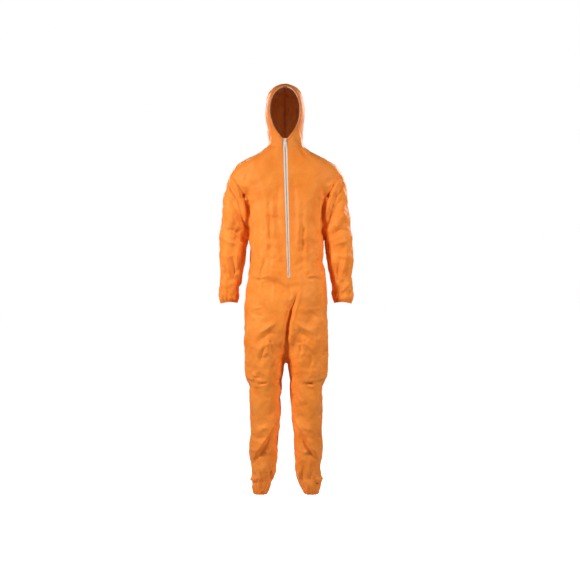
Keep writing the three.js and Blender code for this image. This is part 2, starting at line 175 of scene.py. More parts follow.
LEG = [
    [-690, 92, 84, -112, 112], [-797, 92, 89, -121, 119], [-855, 90.5, 86, -120, 114],
    [-905, 92, 84.5, -115, 107], [-940, 94, 81, -111, 103], [-956, 93, 76.5, -109, 101],
    [-981, 90, 69.5, -104, 96], [-1006, 91.5, 67.5, -102, 94], [-1106, 93, 65.5, -92, 90],
    [-1187, 97, 60, -85, 86], [-1235, 101.5, 61.5, -82, 84], [-1283, 99, 58, -78, 80],
    [-1315, 99, 55, -74, 75], [-1333, 97, 55.5, -72, 72], [-1358, 100, 54, -68, 67],
    [-1384, 99, 48, -61, 58], [-1404, 104, 43, -57, 51], [-1419, 105, 38, -51, 44],
    [-1430, 106, 31, -44, 36], [-1439, 107, 25, -38, 30], [-1460, 107, 22, -34, 26],
]
print(len(TRUNK) + len(HOOD) + len(SLEEVE) + len(LEG), "rows")

# %% [markdown]
# ## Lofting the form
#
# The rows are filled in every 10 mm, closed at both ends and joined by a voxel remesh, which
# keeps only the outer skin and gives it even square cells. A sleeve hangs so close to the body
# that the remesh would weld them together, so the sleeves are pushed outwards first, more the
# lower they are, and pulled back by the same amount afterwards.

# %% Lofts
ROW_STEP = 10
AROUND = 72
SPREAD = 40 * MM


def spread_at(z):
    return SPREAD * soft_step((-0.352 - z) / 0.08)


def loft(rows, side=1, spread=False):
    rows = np.array(sorted(rows, key=lambda row: -row[0]), float)
    heights = np.arange(rows[0, 0], rows[-1, 0], -ROW_STEP)
    heights = np.append(heights, rows[-1, 0])
    fine = np.stack([np.interp(-heights, -rows[:, 0], rows[:, k]) for k in range(5)], 1)
    fine[1:-1, 1:] = (fine[:-2, 1:] + 2 * fine[1:-1, 1:] + fine[2:, 1:]) / 4
    turn = np.arange(AROUND) * 2 * np.pi / AROUND
    c, s = np.cos(turn), np.sin(turn)
    c = np.sign(c) * np.abs(c) ** (2 / ROUNDNESS)
    s = np.sign(s) * np.abs(s) ** (2 / ROUNDNESS)
    x = side * fine[:, 1:2] + fine[:, 2:3] * c
    y = (fine[:, 3:4] + fine[:, 4:5]) / 2 + (fine[:, 4:5] - fine[:, 3:4]) / 2 * s
    z = np.repeat(fine[:, :1], AROUND, 1)
    points = np.stack([x, y, z], 2) * MM
    if spread:
        points[..., 0] += side * spread_at(points[..., 2])
    ends = points[[0, -1]].mean(1)
    count, faces = len(points), []
    for r in range(count - 1):
        for i in range(AROUND):
            a, b = r * AROUND + i, r * AROUND + (i + 1) % AROUND
            faces.append((a, a + AROUND, b + AROUND, b))
    top, low = count * AROUND, count * AROUND + 1
    for i in range(AROUND):
        j = (i + 1) % AROUND
        faces.append((top, i, j))
        faces.append((low, (count - 1) * AROUND + j, (count - 1) * AROUND + i))
    return np.concatenate([points.reshape(-1, 3), ends]), faces


parts = [loft(TRUNK), loft(HOOD)]
for side in SIDES.values():
    parts += [loft(SLEEVE, side, True), loft(LEG, side)]
points, faces, start = [], [], 0
for part_points, part_faces in parts:
    points.append(part_points)
    faces += [tuple(i + start for i in face) for face in part_faces]
    start += len(part_points)
form = new_object("form", np.concatenate(points), faces)
print(len(parts), "lofts,", len(faces), "faces")

# %% The skin of the form
CELL = 8 * MM
remesh = form.modifiers.new("skin", "REMESH")
remesh.mode = "VOXEL"
remesh.voxel_size = CELL
form = applied(form, "form")
skin = points_of(form.data)
quads = np.array([tuple(p.vertices) for p in form.data.polygons])
bpy.data.objects.remove(form)


def edges_of(faces):
    pairs = np.concatenate([faces[:, [k, (k + 1) % faces.shape[1]]] for k in range(faces.shape[1])])
    return np.unique(np.sort(pairs, 1), axis=0)


def smoothed(values, edges, rounds, share=0.5, keep=True):
    """Evens out values over the mesh; with keep, each round also undoes the shrinking."""
    degree = np.bincount(edges.ravel(), minlength=len(values))[:, None]
    values = values.copy()
    for turn in range(rounds * (2 if keep else 1)):
        total = np.stack([
            np.bincount(edges[:, 0], values[edges[:, 1], k], len(values))
            + np.bincount(edges[:, 1], values[edges[:, 0], k], len(values))
            for k in range(values.shape[1])
        ], 1)
        step = share if turn % 2 == 0 or not keep else -share * 1.02
        values += step * (total / degree - values)
    return values


edges = edges_of(quads)
skin = smoothed(skin, edges, 10)
pull_back = spread_at(skin[:, 2])
between_line = (0.164 + (-0.35 - skin[:, 2]) * 0.07) + pull_back / 2
is_sleeve = (np.abs(skin[:, 0]) > between_line) & (skin[:, 2] < -0.352)
skin[:, 0] -= np.sign(skin[:, 0]) * np.where(is_sleeve, pull_back, 0)
print(len(skin), "points", len(quads), "cells", "box", skin.min(0).round(3), skin.max(0).round(3))

# %% [markdown]
# ## Crumpling by simulation
#
# Disposable cloth is stiff and springs into sharp buckles wherever there is more of it than the
# wearer needs. The Cloth solver makes such buckles by itself when the cloth wants to be larger
# than the form that it hangs on, so a second shape, some per cent longer and wider, is given as
# its resting shape. Soft pins keep the cloth near the form, and hard ones hold it at the zip,
# the hood's edge and the hems, where sewn pieces are laid on it later.

# %% Where the cloth is held
def near_zip(points):
    """Distance sideways from the zip's middle line, and whether a point is on the zip's height."""
    share = np.clip((ZIP_TOP[2] - points[:, 2]) / (ZIP_TOP[2] - ZIP_LOW[2]), 0, 1)
    middle = ZIP_TOP[0] + share * (ZIP_LOW[0] - ZIP_TOP[0])
    beyond = np.maximum(0, ZIP_LOW[2] - points[:, 2])
    beyond += np.where(points[:, 1] > 0, 1, 0)
    return np.hypot(points[:, 0] - middle, beyond), middle


FACE_MIDDLE = (-0.0045, 0.160)
FACE_EDGE = np.array([  # outline of the face opening, right half then left half, in millimetres
    (-4, 257), (20, 249), (39, 228), (52, 201), (58, 170), (57, 145), (53, 120), (46, 99),
    (36, 80), (22, 60), (8, 41), (-4, 31), (-16, 41), (-30, 60), (-44, 80), (-54, 99),
    (-61, 120), (-66, 145), (-67, 170), (-61, 201), (-48, 228), (-28, 249),
]) * MM


def round_the_face(points, grow=0.0):
    """How far inside (above zero) or outside the face opening's outline each point is."""
    reach = FACE_EDGE - FACE_MIDDLE
    turn = np.arctan2(reach[:, 0], reach[:, 1])
    size = np.hypot(*reach.T)
    order = np.argsort(turn)
    turn, size = turn[order], size[order]
    turn = np.concatenate([turn[-3:] - 2 * np.pi, turn, turn[:3] + 2 * np.pi])
    size = np.concatenate([size[-3:], size, size[:3]])
    fine = np.linspace(-np.pi - 0.2, np.pi + 0.2, 400)
    soft = np.convolve(np.interp(fine, turn, size), np.hanning(15) / np.hanning(15).sum(), "same")
    x, z = points[:, 0] - FACE_MIDDLE[0], points[:, 2] - FACE_MIDDLE[1]
    edge = np.interp(np.arctan2(x, z), fine[8:-8], soft[8:-8]) + grow
    inside = edge - np.hypot(x, z)
    return np.where(points[:, 1] < 0.01, inside, -1)


def held(points):
    """0 where the cloth moves freely and 1 where sewn pieces hold it."""
    zip_hold = 1 - soft_step((near_zip(points)[0] - 0.012) / 0.03)
    face_hold = 1 - soft_step((-round_the_face(points, 0.012) - 0.002) / 0.02)
    hems = 1 - soft_step((points[:, 2] + 1.445) / 0.03)
    cuffs = np.where(np.abs(points[:, 0]) > 0.192, 1 - soft_step((points[:, 2] + 0.635) / 0.03), 0)
    low_inside = np.where(np.abs(points[:, 0]) < 0.02, soft_step((-0.87 - points[:, 2]) / 0.03), 0)
    return np.maximum.reduce([zip_hold, face_hold, hems, cuffs, 0.8 * low_inside])


print("held points", int((held(skin) > 0.9).sum()), "of", len(skin))

# %% The crumple
ALONG = [  # height in millimetres and how much longer the cloth is than the form, in per cent
    (280, 2.0), (100, 3.0), (0, 2.0), (-150, 2.0), (-330, 2.5), (-500, 3.5), (-640, 3.0),
    (-800, 3.5), (-900, 4.0), (-980, 4.5), (-1050, 1.2), (-1120, 2.0), (-1250, 5.0),
    (-1400, 7.0), (-1460, 7.0),
]
ROUND = [
    (280, 2.0), (100, 2.5), (0, 1.5), (-150, 1.8), (-300, 2.6), (-450, 2.6), (-600, 2.0),
    (-800, 2.5), (-1000, 2.5), (-1100, 1.5), (-1250, 3.0), (-1400, 5.0), (-1460, 5.0),
]
HELD_BACK = 0.13
STIFFNESS, BENDING = 40, 0.9
WORN_AT = 10
CRUMPLE_STEPS = 26
CRUMPLE_CAP = 9 * MM


def resting_shape(points):
    heights = np.arange(-1470, 300, 5)
    longer = np.interp(heights, *np.array(ALONG[::-1]).T) / 100
    grown = np.concatenate([[0], np.cumsum(5 * (1 + longer[:-1]))])
    shape = points.copy()
    shape[:, 2] = np.interp(points[:, 2] / MM, heights, grown) * MM
    wider = 1 + np.interp(points[:, 2] / MM, *np.array(ROUND[::-1]).T) / 100
    shape[:, :2] *= wider[:, None]
    return shape


def waves(points, seed, sizes, count=9):
    """Smooth random values between about -1 and 1, from a few sine waves of fixed seed."""
    source = np.random.default_rng(seed)
    total = np.zeros(len(points))
    for _ in range(count):
        direction = source.normal(size=3)
        direction /= np.linalg.norm(direction)
        size = source.uniform(*sizes)
        total += np.sin(points @ direction * 2 * np.pi / size + source.uniform(0, 7))
    return total / math.sqrt(count)


def crumpled(points, faces):
    """Lets the cloth buckle against the form and returns where its points come to rest."""
    cloth_object = new_object("crumple", resting_shape(points), faces)
    cloth_object.shape_key_add(name="Basis")
    worn = cloth_object.shape_key_add(name="worn")
    worn.data.foreach_set("co", points.ravel())
    for step, value in ((1, 0), (WORN_AT, 1)):
        worn.value = value
        worn.keyframe_insert("value", frame=step)
    group = cloth_object.vertex_groups.new(name="held")
    weights = np.maximum(HELD_BACK, held(points))
    for level in np.unique(weights.round(2)):
        group.add(np.nonzero(weights.round(2) == level)[0].tolist(), float(level), "REPLACE")
    modifier = cloth_object.modifiers.new("crumple", "CLOTH")
    settings = modifier.settings
    settings.quality = 4
    settings.mass = 0.15
    settings.air_damping = 2.0
    settings.tension_stiffness = settings.compression_stiffness = STIFFNESS
    settings.shear_stiffness = STIFFNESS / 3
    settings.bending_stiffness = BENDING
    settings.vertex_group_mass = "held"
    settings.pin_stiffness = 1
    settings.effector_weights.gravity = 0
    modifier.collision_settings.use_collision = False
    modifier.point_cache.frame_end = CRUMPLE_STEPS
    scene = bpy.context.scene
    for step in range(1, CRUMPLE_STEPS + 1):
        scene.frame_set(step)
    graph = bpy.context.evaluated_depsgraph_get()
    result = points_of(cloth_object.evaluated_get(graph).data)
    scene.frame_set(1)
    bpy.data.objects.remove(cloth_object)
    return result


def normals_of(points, faces):
    corners = points[faces[:, :3]]
    if faces.shape[1] == 4:
        flat = np.cross(points[faces[:, 2]] - points[faces[:, 0]],
                        points[faces[:, 3]] - points[faces[:, 1]])
    else:
        flat = np.cross(corners[:, 1] - corners[:, 0], corners[:, 2] - corners[:, 0])
    total = np.zeros_like(points)
    for k in range(faces.shape[1]):
        for axis in range(3):
            total[:, axis] += np.bincount(faces[:, k], flat[:, axis], len(points))
    return total / np.maximum(np.linalg.norm(total, axis=1, keepdims=True), 1e-12)


loose = skin + normals_of(skin, quads) * (0.6 * MM * waves(skin, 3, (0.02, 0.06)))[:, None]
settled = crumpled(loose, quads)
moved = settled - skin
far = np.linalg.norm(moved, axis=1)
print("crumple moved", (far.mean() / MM).round(2), "mm on average,",
      (far.max() / MM).round(1), "mm at most")
moved *= (CRUMPLE_CAP * np.tanh(far / CRUMPLE_CAP) / np.maximum(far, 1e-9))[:, None]
skin = skin + smoothed(moved, edges, 1, 0.3, False)
print("crumple simulated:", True)

# %% [markdown]
# ## Finer cells, and folds that wear puts in
#
# The skin is subdivided once, to cells of 4 mm, and then gets the folds that a coverall always
# shows when somebody stands in it with hanging arms: a long pleat on each side of the zip, sharp
# folds from the armpit up to the shoulder, slanting ones inside the elbow, a bag of cloth above
# the knee and slack above the ankle. Each fold is a path across the front with a width and a
# height. A ridge has a sharp crest, because stiff cloth breaks rather than bends.

# %% Subdividing the skin
coarse = new_object("coarse", skin, quads)
divide = coarse.modifiers.new("divide", "SUBSURF")
divide.levels = divide.render_levels = 1
coarse = applied(coarse, "fine")
skin = points_of(coarse.data)
quads = np.array([tuple(p.vertices) for p in coarse.data.polygons])
bpy.data.objects.remove(coarse)
edges = edges_of(quads)
print(len(quads), "cells of about", CELL / MM / 2, "mm")

# %% Folds on the front
# Each row is [height of the fold, half width, sharpness, path of (across, height)], all in
# millimetres, with sharpness 1 for a crest like a knife's edge and 0 for a rounded swell.
TRUNK_FOLDS = [
    [-4.5, 15, 0.2, [(-20, -130), (-32, -200), (-36, -250), (-30, -310), (-17, -375)]],
    [-4.5, 14, 0.2, [(19, -100), (31, -165), (34, -220), (36, -320), (30, -380)]],
    [3.5, 11, 0.5, [(-52, -190), (-53, -260), (-50, -340), (-36, -410), (-17, -465)]],
    [3.5, 11, 0.5, [(49, -190), (50, -260), (52, -340), (46, -420), (40, -470)]],
    [3, 14, 0.9, [(-86, -215), (-80, -330), (-78, -430), (-80, -525)]],
    [3, 14, 0.9, [(87, -215), (85, -330), (83, -430), (84, -525)]],
    [-2.5, 8, 0.5, [(-70, -225), (-66, -330), (-64, -430), (-68, -520)]],
    [-2.5, 8, 0.5, [(71, -225), (69, -330), (67, -430), (70, -520)]],
    [-3, 5, 0.4, [(-4, -240), (0, -380), (3, -535)]],
    [2.2, 5, 0.8, [(-136, -528), (-108, -536), (-78, -531)]],
    [2.2, 5, 0.8, [(84, -533), (112, -527), (150, -536)]],
    [-2, 5, 0.6, [(-140, -541), (-110, -547), (-82, -542)]],
    [-2, 5, 0.6, [(88, -544), (116, -538), (150, -547)]],
    [-11, 11, 0.6, [(4, -806), (9, -760), (13, -715), (22, -672), (43, -612)]],
    [-10, 12, 0.5, [(0, -905), (1, -860), (3, -790), (6, -735)]],
    [3.5, 9, 0.5, [(22, -780), (26, -720), (34, -680), (50, -640)]],
    [-2.5, 5, 0.7, [(15, -545), (16, -600), (15, -670)]],
    [2, 6, 0.8, [(-150, -655), (-122, -662), (-96, -658)]],
    [2, 6, 0.8, [(92, -660), (116, -668), (146, -661)]],
    [-2.2, 6, 0.6, [(-146, -676), (-118, -690), (-94, -694)]],
    [-2.2, 6, 0.6, [(90, -676), (118, -688), (146, -700)]],
    [1.8, 6, 0.7, [(-60, -520), (-48, -580), (-52, -640)]],
    [1.8, 6, 0.7, [(56, -520), (62, -590), (50, -650)]],
]
SIDE_FOLDS = [  # the same on the left and the right
    [5, 13, 0.7, [(231, -112), (205, -160), (184, -212), (170, -262)]],
    [-5, 7, 0.5, [(216, -118), (193, -160), (174, -205), (160, -262)]],
    [-5, 7, 0.5, [(243, -135), (222, -175), (196, -222), (176, -290), (164, -325)]],
    [5, 14, 0.5, [(206, -135), (185, -152), (162, -160)]],
    [-6, 10, 0.4, [(190, -205), (172, -192), (156, -200)]],
    [-6, 8, 0.4, [(158, -180), (156, -240), (152, -300), (150, -356)]],
    [3, 8, 0.6, [(143, -190), (141, -250), (138, -320), (138, -380)]],
    [-6, 12, 0.3, [(236, -205), (206, -250), (184, -290), (170, -322)]],
    [6, 17, 0.5, [(241, -262), (226, -292), (214, -318)]],
    [-7, 13, 0.4, [(246, -340), (222, -338), (202, -352), (186, -372)]],
    [4, 12, 0.7, [(262, -372), (236, -388), (206, -398)]],
    [6, 15, 0.7, [(250, -420), (243, -470), (232, -520)]],
    [-5, 9, 0.5, [(222, -455), (213, -500), (216, -545)]],
    [-4, 8, 0.5, [(258, -480), (243, -535), (236, -560)]],
    [3, 9, 0.8, [(268, -440), (246, -452), (214, -444)]],
    [3, 8, 0.8, [(262, -560), (240, -585), (226, -600)]],
    [5, 15, 0.9, [(44, -722), (72, -742), (108, -764)]],
    [-3, 10, 0.5, [(56, -760), (84, -778), (116, -800)]],
    [3.2, 10, 0.9, [(74, -768), (73, -810), (76, -846)]],
    [2.5, 7, 0.9, [(50, -812), (74, -806), (100, -824)]],
    [2.5, 7, 0.9, [(56, -866), (76, -842), (98, -862)]],
    [2.5, 7, 0.9, [(98, -784), (92, -806), (112, -846)]],
    [-2.5, 8, 0.5, [(64, -790), (62, -830), (52, -866)]],
    [-2.5, 8, 0.5, [(92, -830), (104, -880), (98, -905)]],
    [3.5, 8, 0.8, [(172, -936), (150, -950), (128, -955)]],
    [-3, 6, 0.6, [(170, -958), (148, -969), (124, -970)]],
    [3, 7, 0.9, [(122, -952), (102, -962), (80, -959)]],
    [-2.5, 6, 0.6, [(118, -968), (98, -974), (76, -968)]],
    [2, 5, 0.9, [(146, -928), (126, -940), (108, -938)]],
    [2.2, 5, 0.9, [(136, -980), (112, -985), (90, -980)]],
    [2.5, 14, 0.6, [(128, -1010), (126, -1060), (122, -1110)]],
    [-3, 10, 0.5, [(150, -1085), (144, -1110), (128, -1100)]],
    [9, 17, 1.0, [(36, -1108), (50, -1140), (86, -1201), (110, -1244), (136, -1286)]],
    [-8, 9, 0.5, [(34, -1132), (52, -1168), (82, -1222), (106, -1262), (134, -1304)]],
    [4, 12, 0.7, [(58, -1146), (92, -1158), (124, -1176)]],
    [-3, 9, 0.5, [(84, -1190), (112, -1200), (148, -1190)]],
    [4, 9, 0.8, [(150, -1244), (122, -1250), (96, -1236)]],
    [3.5, 10, 0.8, [(100, -1288), (94, -1330), (88, -1372)]],
    [3, 8, 0.8, [(56, -1240), (72, -1258), (96, -1252)]],
    [-4, 7, 0.6, [(72, -1318), (66, -1350), (64, -1392)]],
    [4, 7, 0.8, [(60, -1326), (56, -1356), (58, -1384)]],
    [-5, 7, 0.6, [(152, -1350), (138, -1357), (122, -1354)]],
    [5, 8, 0.8, [(154, -1372), (136, -1376), (116, -1366)]],
    [-5, 6, 0.6, [(150, -1390), (134, -1393), (120, -1388)]],
    [3, 7, 0.8, [(112, -1330), (108, -1370), (104, -1400)]],
]


FOLD_GAIN = 2.0  # the lists give a calm garment, and this makes all folds deeper together


def fold_height(points, rows, side=1):
    """The height that a list of folds gives each point, seen square on."""
    x, z = side * points[:, 0] / MM, points[:, 2] / MM
    total = np.zeros(len(points))
    for height, width, sharp, path in rows:
        path = np.array(path, float)
        reach = 4 * width
        low, high = path.min(0) - reach, path.max(0) + reach
        near = np.nonzero((x > low[0]) & (x < high[0]) & (z > low[1]) & (z < high[1]))[0]
        if not len(near):
            continue
        best = np.full(len(near), 1e9)
        along = np.zeros(len(near))
        lengths = np.hypot(*np.diff(path, axis=0).T)
        for k, length in enumerate(lengths):
            step = path[k + 1] - path[k]
            dx, dz = x[near] - path[k, 0], z[near] - path[k, 1]
            t = np.clip((dx * step[0] + dz * step[1]) / length ** 2, 0, 1)
            far = np.hypot(dx - t * step[0], dz - t * step[1])
            closer = far < best
            best = np.where(closer, far, best)
            along = np.where(closer, lengths[:k].sum() + t * length, along)
        share = along / lengths.sum()
        taper = np.sin(np.pi * np.clip(0.06 + 0.88 * share, 0, 1)) ** 0.8
        narrow = width * (0.55 + 0.45 * taper)
        crest = np.exp(-best / (0.75 * narrow))
        swell = np.exp(-(best / narrow) ** 2)
        total[near] += FOLD_GAIN * height * taper * (sharp * crest + (1 - sharp) * swell)
    return total


def folded(points, faces):
    outward = normals_of(points, faces)
    front = soft_step((-outward[:, 1] + 0.1) / 0.35)
    height = fold_height(points, TRUNK_FOLDS)
    for side in SIDES.values():
        height += np.where(side * points[:, 0] > 0, fold_height(points, SIDE_FOLDS, side), 0)
    return height * front * (1 - held(points)), outward


height, outward = folded(skin, quads)
skin = skin + outward * (height * MM)[:, None]
print("folds from", height.min().round(1), "to", height.max().round(1), "mm")

# %% [markdown]
# ## Folds on the back and the sides
#
# Behind, the cloth hangs from the shoulder blades, bunches where the waist elastic draws it in,
# and hangs slack under the seat and behind the knees. These folds are laid the same way, but on
# the faces that look backwards or sideways.

# %% Folds on the back
BACK_FOLDS = [
    [4, 14, 0.6, [(100, -120), (84, -220), (70, -330), (64, -430)]],
    [-4, 12, 0.4, [(72, -130), (58, -230), (46, -340), (44, -440)]],
    [3.5, 12, 0.6, [(30, -180), (28, -300), (36, -420)]],
    [4, 10, 0.7, [(150, -190), (128, -260), (112, -330), (104, -400)]],
    [-5, 9, 0.5, [(168, -240), (150, -300), (132, -350)]],
    [4, 8, 0.7, [(36, -486), (44, -560), (40, -610)]],
    [4, 8, 0.7, [(70, -492), (78, -560), (74, -616)]],
    [4, 8, 0.7, [(104, -488), (112, -566), (108, -606)]],
    [4, 8, 0.7, [(134, -494), (140, -560), (136, -600)]],
    [5, 14, 0.6, [(20, -800), (60, -824), (110, -834), (150, -822)]],
    [-6, 10, 0.5, [(18, -826), (60, -850), (112, -858), (150, -846)]],
    [4, 12, 0.7, [(40, -880), (80, -896), (130, -892)]],
    [-4, 9, 0.6, [(46, -1000), (90, -1012), (140, -1004)]],
    [5, 10, 0.7, [(44, -978), (88, -990), (142, -982)]],
    [4, 9, 0.8, [(50, -1030), (90, -1040), (136, -1034)]],
    [5, 13, 0.8, [(60, -1130), (84, -1190), (120, -1250)]],
    [-5, 9, 0.6, [(74, -1130), (98, -1186), (134, -1244)]],
    [5, 10, 0.8, [(60, -1290), (96, -1306), (140, -1296)]],
    [-5, 8, 0.6, [(62, -1318), (98, -1330), (138, -1322)]],
    [4, 9, 0.8, [(66, -1350), (100, -1362), (136, -1352)]],
    [5, 12, 0.6, [(224, -200), (240, -290), (236, -360)]],
    [-5, 10, 0.5, [(204, -240), (222, -320), (250, -372)]],
    [5, 12, 0.8, [(204, -400), (238, -424), (266, -410)]],
    [-5, 9, 0.6, [(206, -430), (240, -450), (268, -440)]],
    [4, 10, 0.8, [(206, -500), (238, -520), (262, -506)]],
    [4, 9, 0.8, [(214, -570), (240, -584), (262, -574)]],
]
backward = soft_step((outward[:, 1] + 0.05) / 0.35)
back = np.zeros(len(skin))
for side in SIDES.values():
    tilted = skin + np.array([0, 0, 0.012 * side])  # so that the halves aren't mirror images
    rows = fold_height(tilted, BACK_FOLDS, side)
    back += np.where(side * skin[:, 0] > 0, rows, 0)
skin = skin + outward * (back * backward * (1 - held(skin)) * MM)[:, None]
print("back folds from", back.min().round(1), "to", back.max().round(1), "mm")

# %% [markdown]
# ## Crackle
#
# Film-faced cloth that has lain folded in a bag keeps a net of small flat facets with sharp
# creases between them. Such a net comes from points scattered in space: each place on the skin
# is as high as its distance to the nearest point, so the creases lie where two points are
# equally near. Three sizes are laid over each other, the middle one turned inside out.

# %% Crackle
def nearest_scattered(points, seed, size):
    """Distance to the nearest of many scattered points, in shares of their spacing."""
    scaled = points / size
    base = np.floor(scaled)
    best = np.full(len(points), 9.0)
    for corner in np.ndindex(3, 3, 3):
        cell = base + np.array(corner) - 1
        key = cell @ np.array([12.9898, 78.233, 37.719]) + seed
        jitter = np.stack([np.sin(key * turn) * 43758.5453 % 1 for turn in (1.0, 1.7, 2.3)], 1)
        best = np.minimum(best, np.linalg.norm(cell + jitter - scaled, axis=1))
    return best


CRACKLE = [  # height in millimetres and the share of the full crackle that the cloth has there
    (280, 0.5), (100, 0.55), (0, 0.35), (-150, 0.35), (-330, 0.4), (-480, 0.6), (-560, 0.7),
    (-700, 0.9), (-850, 1.15), (-980, 1.0), (-1060, 0.6), (-1130, 0.8), (-1220, 1.25), (-1460, 1.4),
]
CRACKLE_LAYERS = [(0.074, 5.5), (0.043, -4.2), (0.024, 2.0)]  # spacing in m, height in mm
amount = np.interp(skin[:, 2] / MM, *np.array(CRACKLE[::-1]).T)
on_arm = soft_step((np.abs(skin[:, 0]) - 0.165) / 0.03) * soft_step((-0.14 - skin[:, 2]) / 0.05)
on_arm *= skin[:, 2] > -0.66
amount = amount * (1 - on_arm) + 1.1 * on_arm
drifted = skin + 0.006 * np.stack([waves(skin, 60 + k, (0.05, 0.12)) for k in range(3)], 1)
crackle = sum(height * (nearest_scattered(drifted, 5 + 3 * k, size) - 0.5)
              for k, (size, height) in enumerate(CRACKLE_LAYERS))
skin = skin + normals_of(skin, quads) * (crackle * amount * (1 - held(skin)) * MM)[:, None]
print("crackle from", crackle.min().round(1), "to", crackle.max().round(1), "mm")

# %% [markdown]
# ## Gathers at the elastic
#
# Elastic sewn into the wrists, the ankles and the back of the waist draws the cloth into small
# even pleats that die out over a few centimetres. They are ripples that run round the limb, so
# each point's ripple comes from its turn about the limb's middle.

# %% Gathers
def turn_about(points, middle, deep=0.0):
    return np.arctan2(points[:, 1] - deep, points[:, 0] - middle)


gather = np.zeros(len(skin))
for side in SIDES.values():
    own = side * skin[:, 0] > 0
    wrist = own & (np.abs(skin[:, 0]) > 0.188) & (skin[:, 2] < -0.5)
    turn = turn_about(skin, side * 0.239, -0.01)
    fade = soft_step((-0.555 - skin[:, 2]) / 0.06)
    ripple = np.sin(13 * turn + 1.5 * np.sin(3 * turn + side)) + 0.5 * np.sin(8 * turn + 2)
    gather += np.where(wrist, 1.6 * fade * ripple, 0)
    ankle = own & (skin[:, 2] < -1.3)
    turn = turn_about(skin, side * 0.106, -0.004)
    fade = soft_step((-1.345 - skin[:, 2]) / 0.07)
    ripple = np.sin(15 * turn + 1.5 * np.sin(2 * turn + side)) + 0.5 * np.sin(9 * turn + 1)
    gather += np.where(ankle, 2.1 * fade * ripple, 0)
waist_near = np.exp(-((skin[:, 2] + 0.535) / 0.03) ** 2) * backward * (np.abs(skin[:, 0]) < 0.19)
gather += 1.6 * waist_near * np.sin(2 * np.pi * skin[:, 0] / 0.024 + 1.2 * np.sin(skin[:, 0] * 70))
gather -= 3.0 * waist_near * np.exp(-((skin[:, 2] + 0.535) / 0.012) ** 2)
outward = normals_of(skin, quads)
skin = skin + outward * (gather * MM)[:, None]
outward = normals_of(skin, quads)
print("gathers from", gather.min().round(1), "to", gather.max().round(1), "mm")

# %% [markdown]
# ## Cutting the panels
#
# A seam is the line where some field over the skin is zero: a plane for the armholes, the groin
# and the hems, a leaning strip for the zip, and the face's outline for the hood. The cutter
# splits the cells along that line, so neighbouring panels share every point of it.

# %% The cutter
tris = np.concatenate([quads[:, [0, 1, 2]], quads[:, [0, 2, 3]]])
label = np.zeros(len(tris), int)  # which piece each triangle belongs to


def cut(field, only=0, becomes=None):
    """Splits triangles of one label at field = 0; those above zero get the new label."""
    global skin, tris, label, outward
    value = field(skin)
    value[np.abs(value) < 0.15 * MM] = 0
    corner = value[tris]
    mine = label == only
    crossing = mine & (corner.min(1) < 0) & (corner.max(1) > 0)
    rows = tris[crossing]
    made_tris = []
    if len(rows):
        signs = np.sign(value[rows])
        zero = (signs == 0).any(1)
        lone = np.where(zero, np.argmax(signs == 0, 1),
                        np.argmax(signs == -np.sign(signs.sum(1, keepdims=True)), 1))
        turned = np.stack([rows[np.arange(len(rows)), (lone + k) % 3] for k in range(3)], 1)
        a, b, c = turned.T
        full = ~zero
        pairs = np.concatenate([
            np.stack([a[full], b[full]], 1), np.stack([a[full], c[full]], 1),
            np.stack([b[zero], c[zero]], 1),
        ])
        unique, where = np.unique(np.sort(pairs, 1), axis=0, return_inverse=True)
        where = where.ravel() + len(skin)
        v0, v1 = value[unique[:, 0]], value[unique[:, 1]]
        share = (v0 / (v0 - v1))[:, None]
        skin = np.concatenate([skin, skin[unique[:, 0]] * (1 - share) + skin[unique[:, 1]] * share])
        mixed = outward[unique[:, 0]] * (1 - share) + outward[unique[:, 1]] * share
        outward = np.concatenate([outward, mixed / np.linalg.norm(mixed, axis=1, keepdims=True)])
        value = np.concatenate([value, np.zeros(len(unique))])
        n = int(full.sum())
        ab, ac, bc = where[:n], where[n:2 * n], where[2 * n:]
        a1, b1, c1 = a[full], b[full], c[full]
        a0, b0, c0 = a[zero], b[zero], c[zero]
        made_tris = [np.stack(t, 1) for t in (
            (a1, ab, ac), (ab, b1, c1), (ab, c1, ac), (a0, b0, bc), (a0, bc, c0))]
        tris = np.concatenate([tris[~crossing]] + made_tris)
        label = np.concatenate([label[~crossing], np.full(len(tris) - (~crossing).sum(), only)])
    above = (label == only) & (value[tris].sum(1) > 0)
    label[above] = becomes
    return int(above.sum())


def line_field(axis, place, sign=1):
    return lambda p: sign * (p[:, axis] - place)


def arm_field(side):
    top, pit = np.array([247, -117]) * MM, np.array([162, -350]) * MM
    along = (top - pit) / np.linalg.norm(top - pit)
    across = np.array([along[1], -along[0]])
    inner, low = np.array([158, -350]) * MM, np.array([180, -641]) * MM
    away = np.array([inner[1] - low[1], low[0] - inner[0]])
    away /= np.linalg.norm(away)

    def field(p):
        flat = np.stack([side * p[:, 0], p[:, 2]], 1)
        return np.minimum((flat - pit) @ across, (flat - inner) @ away)
    return field


def leg_field(side):
    slant = math.radians(30)
    return lambda p: np.minimum(
        side * math.sin(slant) * p[:, 0] - math.cos(slant) * (p[:, 2] + 0.803), side * p[:, 0])


def zip_field(p):
    share = np.clip((ZIP_TOP[2] - p[:, 2]) / (ZIP_TOP[2] - ZIP_LOW[2]), 0, 1)
    beside = np.abs(p[:, 0] - (ZIP_TOP[0] + share * (ZIP_LOW[0] - ZIP_TOP[0])))
    wide = (9.0 + share * (5.2 - 9.0)) * MM
    return np.minimum.reduce([wide - beside, p[:, 2] - ZIP_LOW[2] - 2 * MM, -0.02 - p[:, 1]])


def centre_front(p):
    share = np.clip((p[:, 2] + 0.85) / (0.85 - 0.541), 0, 1)
    zipped = np.clip((p[:, 2] - ZIP_LOW[2]) / (ZIP_TOP[2] - ZIP_LOW[2]), 0, 1)
    return p[:, 0] - np.where(p[:, 2] < ZIP_LOW[2], share * ZIP_LOW[0],
                              ZIP_LOW[0] + zipped * (ZIP_TOP[0] - ZIP_LOW[0]))


print("fields for the armholes, the groin, the zip and the centre front")

